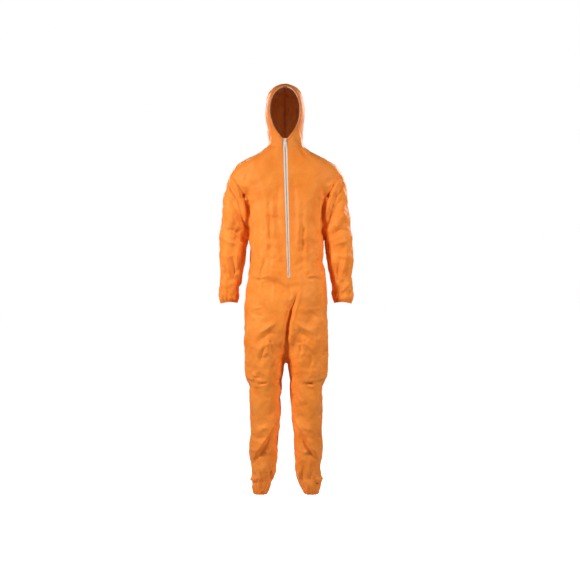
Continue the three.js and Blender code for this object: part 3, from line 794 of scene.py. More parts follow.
# %% [markdown]
# ## Seams draw in
#
# An overlocked seam has four layers of cloth and a tight thread, so it sits lower than the cloth
# beside it and puckers it a little. Both are put into the skin before it is cut: a groove and a
# fading ripple on each side. The skin is also brought level with the zip, which stays straight.

# %% Seam grooves and a level bed for the zip
def surface():
    return BVHTree.FromPolygons(skin.tolist(), quads.tolist())


bed = surface()
zip_heights = np.linspace(ZIP_LOW[2] - 0.02, ZIP_TOP[2], 60)
zip_share = (ZIP_TOP[2] - zip_heights) / (ZIP_TOP[2] - ZIP_LOW[2])
lift = []
for z, share in zip(zip_heights, zip_share):
    x = ZIP_TOP[0] + share * (ZIP_LOW[0] - ZIP_TOP[0])
    y = ZIP_TOP[1] + share * (ZIP_LOW[1] - ZIP_TOP[1])
    lift.append(y - bed.ray_cast(Vector((x, -1, z)), Vector((0, 1, 0)))[0].y)
beside, _ = near_zip(skin)
level = 1 - soft_step((beside - 0.012) / 0.035)
skin[:, 1] += level * np.interp(skin[:, 2], zip_heights, lift)
print("the zip's bed was off by", np.abs(lift).max().round(5), "m at most")

seams = [arm_field(1), arm_field(-1)]
seams.append(lambda p: np.where(np.abs(p[:, 0]) < 0.11, p[:, 2] - 0.008, 1))
seams.append(lambda p: np.where(p[:, 2] > 0.008, p[:, 0] + 0.005, 1))
seams.append(lambda p: np.where((p[:, 2] < 0.008) & (p[:, 1] > 0), p[:, 0], 1))
seams.append(lambda p: np.where((p[:, 2] < -0.545) & (p[:, 1] < 0), centre_front(p), 1))
seams.append(lambda p: np.where(np.abs(p[:, 1]) < 0.05, p[:, 1], 1))
draw = np.zeros(len(skin))
for k, seam in enumerate(seams):
    off = np.abs(seam(skin)) / MM
    groove = np.exp(-(off / 4.2) ** 2)
    pucker = np.exp(-off / 11) * waves(skin, 40 + k, (0.014, 0.034), 6)
    draw += np.where(off < 60, -1.5 * groove + 0.55 * pucker, 0)
outward = normals_of(skin, quads)
skin = skin + outward * (draw * (1 - held(skin)) * MM)[:, None]
outward = normals_of(skin, quads)
whole = surface()
print("seams draw in by up to", -draw.min().round(1), "mm")

# %% [markdown]
# ## The panels
#
# Now every seam is cut. The cells inside the face opening, in the zip's slot and beyond the
# hems are left out, and the others are sorted into the pieces that a cutter's table would show.

# %% Cutting along the seams
FACE_HEM = 10 * MM
NAMES = ["front_panel_right"]


def new_label(name):
    NAMES.append(name)
    return len(NAMES) - 1


GONE = new_label("cut away")
for name, side in SIDES.items():
    sleeve = new_label(f"sleeve_{name}")
    print(name, "sleeve", cut(arm_field(side), 0, sleeve), end=" ")
    hem = new_label(f"cuff_hem_{name}")
    print("cuff hem", cut(line_field(2, -0.623, -1), sleeve, hem), end=" ")
    cut(lambda p: -0.6405 - p[:, 2] + 0.004 * np.cos((p[:, 0] * side - 0.232) * 55), hem, GONE)
    leg = new_label(f"leg_upper_{name}")
    print("leg", cut(leg_field(side), 0, leg), end=" ")
    shin = new_label(f"leg_lower_{name}")
    cut(line_field(2, -0.935, -1), leg, shin)
    hem = new_label(f"ankle_hem_{name}")
    print("ankle hem", cut(line_field(2, -1.420, -1), shin, hem))
    cut(line_field(2, -1.4395, -1), hem, GONE)
hood = new_label("hood_right")
cut(line_field(2, 0.008), 0, hood)
cut(lambda p: round_the_face(p, FACE_HEM), hood, GONE)
cut(zip_field, hood, GONE)
cut(line_field(0, -0.005), hood, new_label("hood_left"))
cut(zip_field, 0, GONE)
back_right = new_label("back_panel_right")
cut(line_field(1, 0), 0, back_right)
cut(line_field(0, 0), back_right, new_label("back_panel_left"))
cut(centre_front, 0, new_label("front_panel_left"))
print({NAMES[k]: int((label == k).sum()) for k in np.unique(label)})

# %% [markdown]
# ## The cloth's two faces
#
# The real cloth is half a millimetre thick, three bonded layers of polypropylene. Each panel is
# made as a closed shell: an outer face, an inner face and a narrow rim between them. Its shading
# normals come from the uncut skin, so a seam shows by its groove and not by a jump in the light.

# %% Panels
def shell(name, which, outer, inner):
    rows = tris[np.isin(label, [NAMES.index(n) for n in which])]
    used, rows = np.unique(rows, return_inverse=True)
    rows = rows.reshape(-1, 3)
    count = len(used)
    points, normals = skin[used], outward[used]
    directed = np.concatenate([rows[:, [0, 1]], rows[:, [1, 2]], rows[:, [2, 0]]])
    rim = directed[~np.isin(directed[:, 0] * count + directed[:, 1],
                            directed[:, 1] * count + directed[:, 0])]
    a, b = rim.T
    walls = np.stack([b, a, a + count, b + count], 1)
    both = np.concatenate([points + normals * outer, points - normals * inner])
    made = new_object(name, both, rows.tolist() + (rows[:, ::-1] + count).tolist() + walls.tolist())
    smooth = np.ones(2 * len(rows) + len(walls), bool)
    smooth[2 * len(rows):] = False
    made.data.polygons.foreach_set("use_smooth", smooth)
    loops = np.concatenate([normals[rows.ravel()], -normals[rows[:, ::-1].ravel()],
                            np.zeros((4 * len(walls), 3))])
    made.data.normals_split_custom_set(loops.tolist())
    inner_face = made.data.attributes.new("inner_face", "FLOAT", "POINT")
    inner_face.data.foreach_set("value", np.repeat([0.0, 1.0], count))
    areas = np.linalg.norm(np.cross(points[rows[:, 1]] - points[rows[:, 0]],
                                    points[rows[:, 2]] - points[rows[:, 0]]), axis=1) / 2
    made["flat_area"] = float(areas.sum())
    print(name, 2 * len(rows) + 2 * len(walls), "triangles", round(areas.sum(), 4), "m2")
    return made


CLOTH = 0.25 * MM  # half of the cloth's thickness
panels = {name: shell(f"{name}_cloth", [name], CLOTH, CLOTH) for name in (
    "front_panel_left", "front_panel_right", "back_panel_left", "back_panel_right",
    "hood_left", "hood_right", "sleeve_left", "sleeve_right", "leg_upper_left",
    "leg_upper_right", "leg_lower_left", "leg_lower_right")}
for kind in ("cuff_hem", "ankle_hem"):
    for side in SIDES:  # turned up once and sewn, so three times as thick
        name = f"{kind}_{side}"
        panels[name] = shell(f"{name}_fold", [name], 0.9 * MM, 0.8 * MM)

# %% [markdown]
# ## Finding the skin
#
# Sewn pieces lie on the skin or just inside it. A ray shot at the skin finds the place and the
# direction square to it. Hems and bands are then swept: the same small outline is set at every
# station of a path, and neighbouring outlines are joined.

# %% Rays and sweeps
def on_skin(start, toward):
    """The point where a ray meets the skin, and the skin's outward direction there."""
    start, toward = Vector(start), Vector(toward).normalized()
    place, normal, _, _ = whole.ray_cast(start, toward)
    if place is None:
        place, normal, _, _ = whole.find_nearest(start + toward * 0.1)
    return np.array(place), np.array(normal)


def swept(name, stations, closed, smooth=True):
    """A solid through outlines, given as an array of (station, corner, 3)."""
    stations = np.asarray(stations)
    count, corners = stations.shape[:2]
    faces = []
    for r in range(count if closed else count - 1):
        for i in range(corners):
            j, nxt = (i + 1) % corners, (r + 1) % count
            faces.append((r * corners + i, r * corners + j, nxt * corners + j, nxt * corners + i))
    if not closed:
        faces.append(tuple(range(corners))[::-1])
        faces.append(tuple((count - 1) * corners + i for i in range(corners)))
    made = new_object(name, stations.reshape(-1, 3), faces)
    work = bmesh.new()
    work.from_mesh(made.data)
    bmesh.ops.recalc_face_normals(work, faces=work.faces)
    work.to_mesh(made.data)
    work.free()
    made.data.polygons.foreach_set("use_smooth", [smooth] * len(made.data.polygons))
    return made


def half_area(made):
    made.data.calc_loop_triangles()
    return sum(p.area for p in made.data.polygons) / 2


print("skin of", len(quads), "cells ready for rays")

# %% [markdown]
# ## The hem round the face
#
# The hood's edge is turned over an elastic cord and sewn, which makes a puffed, gathered tube.
# It is swept along the face's outline, from one side of the zip's top round to the other. The
# tube is fuller at its inner edge, where the elastic lies.

# %% Face hem
HEM_STATIONS = 300
HEM_ACROSS = 9


def face_point(turn, grow):
    """A point of the hood's front on the face outline made larger by grow."""
    direction = np.array([math.sin(turn), 0, math.cos(turn)])
    middle = np.array([FACE_MIDDLE[0], -0.3, FACE_MIDDLE[1]])
    reach = 0.07
    for _ in range(4):
        reach += float(round_the_face(middle[None] + direction * reach, grow)[0])
    return on_skin(middle + direction * reach, (0, 1, 0))


turns = np.radians(np.linspace(-176.5, 176.5, HEM_STATIONS))
face_rows = []
for turn in turns:
    gathered = 1 + 0.30 * math.sin(46 * turn + 1.3 * math.sin(5 * turn))
    gathered += 0.12 * math.sin(31 * turn)
    front_side, back_side = [], []
    for i in range(HEM_ACROSS):
        t = i / (HEM_ACROSS - 1)
        place, normal = face_point(turn, FACE_HEM + 0.8 * MM - t * (FACE_HEM + 0.8 * MM))
        puff = math.sin(math.pi * min(1, 0.04 + 0.96 * t)) ** 0.6 * (0.55 + 0.6 * t)
        front_side.append(place + normal * (0.35 + 2.1 * puff * gathered) * MM)
        back_side.append(place - normal * (0.35 + 1.6 * puff) * MM)
    face_rows.append(front_side + back_side[::-1])
face_hem = swept("face_hem_roll", face_rows, False)
print("face hem", len(face_hem.data.polygons), "cells")

# %% [markdown]
# ## Elastic bands and the neck label
#
# Flat knitted elastic lies inside each wrist, ankle and the face hem and across the back of the
# waist. It is seen only through the openings. Each band follows the inside of the skin, with the
# low ribs that knitted elastic has. The label is a small blank strip of nonwoven, held by the
# neck seam and hanging free below it.

# %% Elastic bands
def band(name, middle, height, wide, stations=150, span=(0, 2 * math.pi), sunk=2.0):
    rows = []
    closed = span[1] - span[0] > 6.28
    for k in range(stations):
        turn = span[0] + (span[1] - span[0]) * k / (stations if closed else stations - 1)
        toward = np.array([math.cos(turn), math.sin(turn), 0])
        outline = []
        for i in range(9):
            z = height - wide / 2 + wide * i / 8
            place, _ = on_skin((middle[0], middle[1], z), toward)
            outline.append(place - toward * (sunk - 0.25 * math.sin(math.pi * i)) * MM)
        ribs = [p - toward * (0.9 + 0.25 * (i % 2)) * MM for i, p in enumerate(outline)]
        rows.append(outline + ribs[::-1])
    return swept(name, rows, closed)


bands = {}
for name, side in SIDES.items():
    bands[f"wrist_elastic_{name}"] = band(
        f"wrist_band_{name}", (side * 0.239, -0.01), -0.6325, 0.006)
    bands[f"ankle_elastic_{name}"] = band(
        f"ankle_band_{name}", (side * 0.107, -0.004), -1.431, 0.006)
bands["waist_elastic"] = band(
    "waist_band", (0, 0), -0.535, 0.013, 260, (math.radians(7), math.radians(173)))
inner_edge = []
for turn in turns:
    place, normal = face_point(turn, 4.2 * MM)
    sideways = np.array([math.sin(turn), 0, math.cos(turn)])
    low = place - normal * 3.4 * MM
    across = sideways * 2.2 * MM
    inner_edge.append([low + across, low - across,
                       low - across - normal * MM, low + across - normal * MM])
bands["face_elastic"] = swept("face_band", inner_edge, False)
print({name: len(made.data.polygons) for name, made in bands.items()})

# %% Neck label
rows = []
for k in range(14):
    z = 0.002 - 0.044 * k / 13
    outline = []
    for i in range(13):
        x = (-20 + 40 * i / 12) * MM
        place, _ = on_skin((x, 0.02, min(z, 0.0)), (0, 1, 0))
        curl = 1.2 + 3.0 * (k / 13) ** 2 + 0.8 * math.sin(i * 0.7) * k / 13
        outline.append(np.array([x, place[1] - curl * MM, z]))
    rows.append(outline + [p - np.array([0, 0.3, 0]) * MM for p in outline[::-1]])
neck_label = swept("neck_label_strip", rows, False)
print("label", len(neck_label.data.polygons), "cells")

# %% [markdown]
# ## The hood's centre seam, inside
#
# Where the two halves of the hood meet, their edges stand up inside as a narrow fin. It is the
# line that shows deep in the hood's opening.

# %% Hood seam fin
fin_rows, fin_edge = [], []
for k in range(150):
    turn = math.radians(118 - (118 + 48) * k / 149)
    toward = np.array([0, math.cos(turn), math.sin(turn)])
    place, _ = on_skin((-0.005, 0.0, 0.13), toward)
    tall = (6.5 + 0.7 * math.sin(k * 0.9)) * MM
    lean = np.array([(1.2 + 0.8 * math.sin(k * 0.23)) * MM, 0, 0])
    foot, crest = place - toward * 0.3 * MM, place - toward * tall
    wall = np.array([0.45 * MM, 0, 0])
    fin_rows.append([foot - wall, crest + lean - wall, crest + lean + wall, foot + wall])
    fin_edge.append(crest + lean)
hood_seam = swept("hood_seam", fin_rows, False)
print("fin from", fin_edge[0].round(3), "to", fin_edge[-1].round(3))

# %% [markdown]
# ## The zip
#
# Two woven tapes lie behind the edges of the front panels and carry a nylon coil between them.
# Zip pieces are drawn in the zip's own frame: first across, then out of the chest, then up. Its
# zero is the top end of the chain.

# %% Zip frame and tapes
zip_up = (ZIP_TOP - ZIP_LOW) / np.linalg.norm(ZIP_TOP - ZIP_LOW)
zip_across = np.cross([0, -1, 0], zip_up)
zip_across /= np.linalg.norm(zip_across)
zip_out = np.cross(zip_up, zip_across)
ZIP_LENGTH = float(np.linalg.norm(ZIP_TOP - ZIP_LOW))
ZIP_FRAME = np.stack([zip_across, zip_out, zip_up])


def on_zip(local):
    """Points given in the zip's frame, in millimetres, as points of the garment."""
    return ZIP_TOP + np.asarray(local, float) * MM @ ZIP_FRAME


def tape(name, side):
    rows, length = [], ZIP_LENGTH / MM
    for k in range(161):
        z = 2.5 - (length + 0.5) * k / 160
        full = 10.8 + (7.2 - 10.8) * -z / length
        edge = full * math.sqrt(max(0.05, 1 - max(0, (z + 3.5) / 6.2) ** 2))
        outline = []
        for i in range(7):
            x = 1.2 + (edge - 1.2) * i / 6
            out = -0.45 + 0.12 * math.sin(z / 9 + i) * i / 6
            outline.append((-side * x, out, z))
        rows.append(outline + [(x, y - 0.55, z) for x, y, z in outline[::-1]])
    return swept(name, on_zip(rows), False)


tapes = {f"zip_tape_{name}": tape(f"zip_weave_{name}", side) for name, side in SIDES.items()}
print("tapes", round(ZIP_LENGTH, 4), "m long")

# %% [markdown]
# ## Rows of thread and teeth
#
# A seam's thread shows as hundreds of equal stitches, and the zip's coil as hundreds of equal
# loops. Geometry Nodes set one small bead at even steps along a path. The path comes in as a
# chain of edges, and the bead's size, the step and the finish are the tree's named inputs.

# %% The tree that lays beads along a path
def add_node(tree, kind, inputs=(), **settings):
    """Adds a node; an input that is another node's socket is linked, any other value is set."""
    made = tree.nodes.new(kind)
    for key, value in settings.items():
        setattr(made, key, value)
    for key, value in dict(inputs).items():
        if isinstance(value, bpy.types.NodeSocket):
            tree.links.new(value, made.inputs[key])
        else:
            made.inputs[key].default_value = value
    return made


beads = bpy.data.node_groups.new("beads along a path", "GeometryNodeTree")
sockets = {}
for title, kind in (("Path", "Geometry"), ("Step", "Float"), ("Bead size", "Vector"),
                    ("Around", "Int"), ("Finish", "Material")):
    sockets[title] = beads.interface.new_socket(
        title, in_out="INPUT", socket_type=f"NodeSocket{kind}")
beads.interface.new_socket("Beads", in_out="OUTPUT", socket_type="NodeSocketGeometry")
given = add_node(beads, "NodeGroupInput").outputs
line = add_node(beads, "GeometryNodeMeshToCurve", {"Mesh": given["Path"]})
spaced = add_node(beads, "GeometryNodeResampleCurve",
                  {"Curve": line.outputs["Curve"], "Length": given["Step"]}, mode="LENGTH")
bead = add_node(beads, "GeometryNodeMeshUVSphere",
                {"Segments": given["Around"], "Rings": 5, "Radius": 1.0})
tangent = add_node(beads, "GeometryNodeInputTangent")
facing = add_node(beads, "FunctionNodeAlignRotationToVector",
                  {"Vector": tangent.outputs["Tangent"]}, axis="Z")
laid = add_node(beads, "GeometryNodeInstanceOnPoints", {
    "Points": spaced.outputs["Curve"], "Instance": bead.outputs["Mesh"],
    "Rotation": facing.outputs["Rotation"], "Scale": given["Bead size"]})
real = add_node(beads, "GeometryNodeRealizeInstances", {"Geometry": laid.outputs["Instances"]})
shaded = add_node(beads, "GeometryNodeSetShadeSmooth", {"Geometry": real.outputs["Geometry"]})
finished = add_node(beads, "GeometryNodeSetMaterial",
                    {"Geometry": shaded.outputs["Geometry"], "Material": given["Finish"]})
add_node(beads, "NodeGroupOutput", {"Beads": finished.outputs["Geometry"]})
print(len(beads.nodes), "nodes in the bead tree")

# %% [markdown]
# ## Finishes
#
# Everything soft here is polypropylene or polyester. The cloth is spunbond nonwoven: fibres laid
# at random and welded by a grid of small dots, then faced with a thin film. That makes it matt
# with a soft sheen, finely crinkled, and a little darker where fibres are thin. The dots are
# 1 mm apart on the real cloth and are drawn 2.4 mm apart, so that they show.

# %% Nonwoven cloth
def new_finish(name):
    made = bpy.data.materials.new(name)
    made.use_nodes = True
    tree = made.node_tree
    shader = tree.nodes["Principled BSDF"]
    return made, tree, shader, add_node(tree, "ShaderNodeTexCoord").outputs["Object"]


def nonwoven(name, light, dark, rough):
    """Film-faced spunbond polypropylene: soft sheen, crinkles, weld dots and cloudy fibres."""
    made, tree, shader, place = new_finish(name)
    cloud = add_node(tree, "ShaderNodeTexNoise", {"Vector": place, "Scale": 14.0, "Detail": 3.0})
    fibre = add_node(tree, "ShaderNodeTexNoise",
                     {"Vector": place, "Scale": 420.0, "Detail": 2.0, "Distortion": 1.5})
    mixed = add_node(tree, "ShaderNodeMath", {0: cloud.outputs["Fac"], 1: fibre.outputs["Fac"]},
                     operation="MULTIPLY")
    shade = add_node(tree, "ShaderNodeMapRange", {
        "Value": mixed.outputs["Value"], "From Min": 0.14, "From Max": 0.36})
    colour = add_node(tree, "ShaderNodeMix", {
        "Factor": shade.outputs["Result"], "A": dye(dark), "B": dye(light)}, data_type="RGBA")
    inner = add_node(tree, "ShaderNodeAttribute", attribute_name="inner_face")
    faced = add_node(tree, "ShaderNodeMix", {
        "Factor": inner.outputs["Fac"], "A": colour.outputs["Result"], "B": dye("#eaae74")},
        data_type="RGBA")
    tree.links.new(faced.outputs["Result"], shader.inputs["Base Color"])
    wander = add_node(tree, "ShaderNodeTexNoise", {"Vector": place, "Scale": 30.0, "Detail": 2.0})
    pushed = add_node(tree, "ShaderNodeVectorMath", {
        0: wander.outputs["Color"], 1: (0.035, 0.035, 0.035)}, operation="MULTIPLY")
    moved = add_node(tree, "ShaderNodeVectorMath", {0: place, 1: pushed.outputs["Vector"]})
    facets = add_node(tree, "ShaderNodeTexVoronoi",
                      {"Vector": moved.outputs["Vector"], "Scale": 42.0}, feature="F1")
    facet_bump = add_node(tree, "ShaderNodeBump", {
        "Height": facets.outputs["Distance"], "Strength": 0.5, "Distance": 0.0016})
    crinkle = add_node(tree, "ShaderNodeTexNoise", {
        "Vector": place, "Scale": 130.0, "Detail": 4.0, "Distortion": 0.6})
    crinkle_bump = add_node(tree, "ShaderNodeBump", {
        "Height": crinkle.outputs["Fac"], "Strength": 0.45, "Distance": 0.0012,
        "Normal": facet_bump.outputs["Normal"]})
    dots = add_node(tree, "ShaderNodeTexVoronoi", {
        "Vector": place, "Scale": 1 / 0.0024, "Randomness": 0.35}, feature="F1")
    pressed = add_node(tree, "ShaderNodeMapRange", {
        "Value": dots.outputs["Distance"], "From Min": 0.22, "From Max": 0.34})
    dot_bump = add_node(tree, "ShaderNodeBump", {
        "Height": pressed.outputs["Result"], "Strength": 0.35, "Distance": 0.0003,
        "Normal": crinkle_bump.outputs["Normal"]})
    tree.links.new(dot_bump.outputs["Normal"], shader.inputs["Normal"])
    gloss = add_node(tree, "ShaderNodeMapRange", {
        "Value": crinkle.outputs["Fac"], "To Min": rough - 0.08, "To Max": rough + 0.1})
    tree.links.new(gloss.outputs["Result"], shader.inputs["Roughness"])
    shader.inputs["IOR"].default_value = 1.49
    shader.inputs["Specular Tint"].default_value = dye("#ffb884")
    shader.inputs["Sheen Weight"].default_value = 0.05
    shader.inputs["Sheen Roughness"].default_value = 0.4
    shader.inputs["Sheen Tint"].default_value = dye("#ffb070")
    return made


cloth = nonwoven("spunbond polypropylene, orange", "#fb953e", "#ef832e", 0.53)
hem_cloth = nonwoven("spunbond polypropylene, orange, folded hem", "#f88a30", "#eb7722", 0.57)
print("cloth finishes", cloth.name, "and", hem_cloth.name)

# %% [markdown]
# The zip's tape is woven from white polyester, so it has a fine twill. Thread is twisted
# polyester, elastic is knitted over rubber, and the slider is die-cast zinc with white lacquer.

# %% Tape, coil, thread, elastic, label and lacquer
def woven(name, light, dark, across, rough):
    """White woven or knitted goods: rows of yarn at a given spacing, in metres."""
    made, tree, shader, place = new_finish(name)
    yarn = add_node(tree, "ShaderNodeTexWave", {
        "Vector": place, "Scale": 0.314 / across, "Distortion": 0.6, "Detail Scale": 3.0},
        wave_type="BANDS", bands_direction="DIAGONAL")
    soil = add_node(tree, "ShaderNodeTexNoise", {"Vector": place, "Scale": 60.0, "Detail": 3.0})
    mixed = add_node(tree, "ShaderNodeMath", {0: yarn.outputs["Fac"], 1: soil.outputs["Fac"]},
                     operation="MULTIPLY")
    colour = add_node(tree, "ShaderNodeMix", {
        "Factor": mixed.outputs["Value"], "A": dye(dark), "B": dye(light)}, data_type="RGBA")
    tree.links.new(colour.outputs["Result"], shader.inputs["Base Color"])
    bump = add_node(tree, "ShaderNodeBump", {
        "Height": yarn.outputs["Fac"], "Strength": 0.5, "Distance": 0.0003})
    tree.links.new(bump.outputs["Normal"], shader.inputs["Normal"])
    shader.inputs["Roughness"].default_value = rough
    shader.inputs["Sheen Weight"].default_value = 0.2
    return made


tape_weave = woven("woven polyester tape, white", "#fff6ec", "#e6d6c8", 0.0012, 0.75)
coil_nylon = woven("nylon coil, off-white", "#e9dccd", "#d2c2b2", 0.0008, 0.4)
thread_twist = woven("twisted polyester thread, peach", "#f7b884", "#e89c5e", 0.0006, 0.6)
elastic_knit = woven("knitted elastic, white", "#f4eee6", "#d9cfc4", 0.0011, 0.85)
label_strip = woven("spunbond label, white", "#f7f4ef", "#e8e3dc", 0.0016, 0.7)
lacquer, lacquer_tree, lacquer_shader, lacquer_place = new_finish("die-cast zinc, white lacquer")
wear = add_node(lacquer_tree, "ShaderNodeTexNoise", {"Vector": lacquer_place, "Scale": 700.0})
worn = add_node(lacquer_tree, "ShaderNodeMix", {
    "Factor": wear.outputs["Fac"], "A": dye("#e9e2d8"), "B": dye("#f8f3ec")}, data_type="RGBA")
lacquer_tree.links.new(worn.outputs["Result"], lacquer_shader.inputs["Base Color"])
pitted = add_node(lacquer_tree, "ShaderNodeBump", {
    "Height": wear.outputs["Fac"], "Strength": 0.15, "Distance": 0.0001})
lacquer_tree.links.new(pitted.outputs["Normal"], lacquer_shader.inputs["Normal"])
lacquer_shader.inputs["Roughness"].default_value = 0.3
lacquer_shader.inputs["Coat Weight"].default_value = 0.4
print(len(bpy.data.materials), "materials with the frame's own")

# %% [markdown]
# ## Stitches and coil teeth
#
# Each row of stitches follows a path found on the skin: beside the zip, round the face, and at
# the top of each hem. The two halves of the coil are half a step apart, so that they mesh.

# %% Laying the beads
def bead_row(name, path, step, size, around, finish):
    path = [list(map(float, p)) for p in path]
    mesh = bpy.data.meshes.new(name + " path")
    mesh.from_pydata(path, [(i, i + 1) for i in range(len(path) - 1)], [])
    source = bpy.data.objects.new(name + " path", mesh)
    bpy.context.scene.collection.objects.link(source)
    modifier = source.modifiers.new("beads", "NODES")
    modifier.node_group = beads
    for title, value in (("Step", step), ("Bead size", size), ("Around", around),
                         ("Finish", finish)):
        modifier[sockets[title].identifier] = value
    made = applied(source, name)
    print(name, len(made.data.polygons), "faces")
    return made


STITCH = (0.00038, 0.00038, 0.0017)


def limb_ring(middle, height, stations=160, proud=0.9 * MM):
    path = []
    for k in range(stations + 1):
        turn = 2 * math.pi * k / stations
        toward = (math.cos(turn), math.sin(turn), 0)
        place, normal = on_skin((middle[0], middle[1], height), toward)
        path.append(place + normal * proud)
    return path


stitches, teeth = {}, {}
for name, side in SIDES.items():
    path = []
    for k in range(220):
        share = k / 219
        line_point = ZIP_TOP + share * (ZIP_LOW - ZIP_TOP)
        beside = (9.0 + share * (5.2 - 9.0) + 2.6) * MM
        start = (line_point[0] + side * beside, -0.4, line_point[2] - 2 * MM)
        place, normal = on_skin(start, (0, 1, 0))
        path.append(place + normal * 0.35 * MM)
    sewn = {"zip": path, "cuff": limb_ring((side * 0.239, -0.01), -0.6245),
            "ankle": limb_ring((side * 0.107, -0.004), -1.4215)}
    for part, line in sewn.items():
        title = f"stitches_{part}_{name}"
        stitches[title] = bead_row(title, line, 0.0042, STITCH, 6, thread_twist)
    pitch, first = 2.4, 9.6 + (0.6 if side > 0 else 1.8)
    low = ZIP_LENGTH / MM - 9.6
    chain = on_zip([(-side * 1.0, 0.45, -first), (-side * 1.0, 0.45, -low)])
    teeth[f"zip_coil_{name}"] = bead_row(
        f"zip_teeth_{name}", chain, pitch * MM, (0.00125, 0.0011, 0.0008), 8, coil_nylon)
path = []
for turn in turns:
    place, normal = face_point(turn, FACE_HEM - 1.6 * MM)
    path.append(place + normal * 1.5 * MM)
stitches["stitches_face"] = bead_row("stitches_face", path, 0.0042, STITCH, 6, thread_twist)
path = []
for turn in turns:
    place, normal = face_point(turn, -0.2 * MM)
    path.append(place + normal * 1.1 * MM)
stitches["face_edge_thread"] = bead_row(
    "face_edge_thread", path, 0.0017, (0.0010, 0.0010, 0.0010), 6, thread_twist)
stitches["hood_seam_thread"] = bead_row(
    "hood_seam_thread", fin_edge, 0.003, (0.0009, 0.0009, 0.0013), 6, thread_twist)

# %% [markdown]
# ## Slider, pull and stops
#
# The slider is two plates joined by a post, which spreads the coil above it. The pull hangs from
# a pin through a lug. They are cut as outlines, given a thickness and rounded at every edge, as
# die casting leaves them.

# %% Cast parts
def cast(name, blocks, rounding=0.22):
    """Joins blocks, each an outline across and up with a low and a high distance out."""
    work = bmesh.new()
    for outline, low, high, hole in blocks:
        ring = [[work.verts.new(on_zip((x, out, z))) for x, z in outline] for out in (low, high)]
        count = len(outline)
        walls = [ring]
        if hole:
            inner = [[work.verts.new(on_zip((x, out, z))) for x, z in hole] for out in (low, high)]
            walls.append(inner)
            for k in range(2):
                for i in range(count):
                    j = (i + 1) % count
                    work.faces.new((ring[k][i], ring[k][j], inner[k][j], inner[k][i]))
        else:
            work.faces.new(ring[0])
            work.faces.new(ring[1])
        for loop in walls:
            for i in range(count):
                j = (i + 1) % count
                work.faces.new((loop[0][i], loop[0][j], loop[1][j], loop[1][i]))
    bmesh.ops.recalc_face_normals(work, faces=work.faces)
    mesh = bpy.data.meshes.new(name)
    work.to_mesh(mesh)
    work.free()
    made = bpy.data.objects.new(name, mesh)
    bpy.context.scene.collection.objects.link(made)
    bevel = made.modifiers.new("rounding", "BEVEL")
    bevel.width, bevel.segments, bevel.limit_method = rounding * MM, 3, "ANGLE"
    made = applied(made, name)
    made.data.polygons.foreach_set("use_smooth", [True] * len(made.data.polygons))
    return made


def rounded_bar(half_top, half_low, top, low, corner=1.0):
    """An outline with cut corners, wider at one end."""
    return [(half_low - corner, low), (half_low, low + corner), (half_top, top - corner),
            (half_top - corner, top), (-half_top + corner, top), (-half_top, top - corner),
            (-half_low, low + corner), (-half_low + corner, low)]


SLIDER_TOP, SLIDER_LOW = -4.5, -17.0
PLATE = (1.9, 3.1)  # front plate, out of the chest
PIN = (5.8, -8.5)  # out and up
slider = cast("zip_slider_body", [
    (rounded_bar(4.4, 2.9, SLIDER_TOP, SLIDER_LOW, 1.2), *PLATE, None),
    (rounded_bar(4.4, 2.9, SLIDER_TOP, SLIDER_LOW, 1.2), -2.3, -1.1, None),
    (rounded_bar(0.9, 0.9, SLIDER_TOP - 0.2, SLIDER_TOP - 3.2, 0.3), -1.2, 2.0, None),
    (rounded_bar(1.0, 1.0, PIN[1] + 1.6, PIN[1] - 1.6, 0.3), 3.0, PIN[0] + 1.0, None),
    ([(-2.9, PIN[1] - 0.3), (2.9, PIN[1] - 0.3), (2.9, PIN[1] + 0.3), (-2.9, PIN[1] + 0.3)],
     PIN[0] - 0.3, PIN[0] + 0.3, None),
], 0.25)
tab_top, tab_low = PIN[1] - 2.4, PIN[1] - 26
grip = [(x * 0.62, z * 0.8 + (tab_low + 6.6) * 0.2)
        for x, z in rounded_bar(3, 3, tab_low + 10, tab_low + 2.4, 1.1)]
pull = cast("zip_pull_tab", [
    (rounded_bar(2.5, 3.0, tab_top, tab_low, 1.1), PIN[0] - 0.6, PIN[0] + 0.6, grip),
    (rounded_bar(0.5, 0.5, PIN[1] + 1.5, tab_top - 1.6, 0.2), PIN[0] - 0.55, PIN[0] + 0.55, None),
], 0.2)
work = bmesh.new()
for side in SIDES.values():
    ear = [(PIN[0] + 1.7 * math.cos(a), PIN[1] + 1.7 * math.sin(a))
           for a in np.linspace(-0.6, math.pi + 0.6, 14)]
    ear += [(PIN[0] - 1.2, tab_top - 1.4), (PIN[0] + 1.2, tab_top - 1.4)]
    rings = [[work.verts.new(on_zip((side * x, out, z))) for out, z in ear] for x in (1.35, 2.4)]
    work.faces.new(rings[0])
    work.faces.new(rings[1])
    for i in range(len(ear)):
        j = (i + 1) % len(ear)
        work.faces.new((rings[0][i], rings[0][j], rings[1][j], rings[1][i]))
bmesh.ops.recalc_face_normals(work, faces=work.faces)
ears = bpy.data.meshes.new("zip_pull_ears")
work.to_mesh(ears)
work.free()
pull_ears = bpy.data.objects.new("zip_pull_ears", ears)
bpy.context.scene.collection.objects.link(pull_ears)
stops = {f"zip_top_stop_{name}": cast(f"top_stop_{name}", [
    (rounded_bar(1.5, 1.5, 1.3, -1.3, 0.4), 0.4, 1.9, None)], 0.3) for name in SIDES}
for name, side in SIDES.items():
    made = stops[f"zip_top_stop_{name}"]
    moved_by = Vector(-side * 2.5 * MM * zip_across - 2.6 * MM * zip_up)
    made.data.transform(Matrix.Translation(moved_by))
stop_low = -ZIP_LENGTH / MM + 9 - 2.4
stops["zip_bottom_stop"] = cast("bottom_stop", [
    (rounded_bar(3.0, 3.0, stop_low + 2, stop_low - 2, 0.6), 0.5, 2.3, None)], 0.4)
print("slider", len(slider.data.polygons), "faces, pull", len(pull.data.polygons))

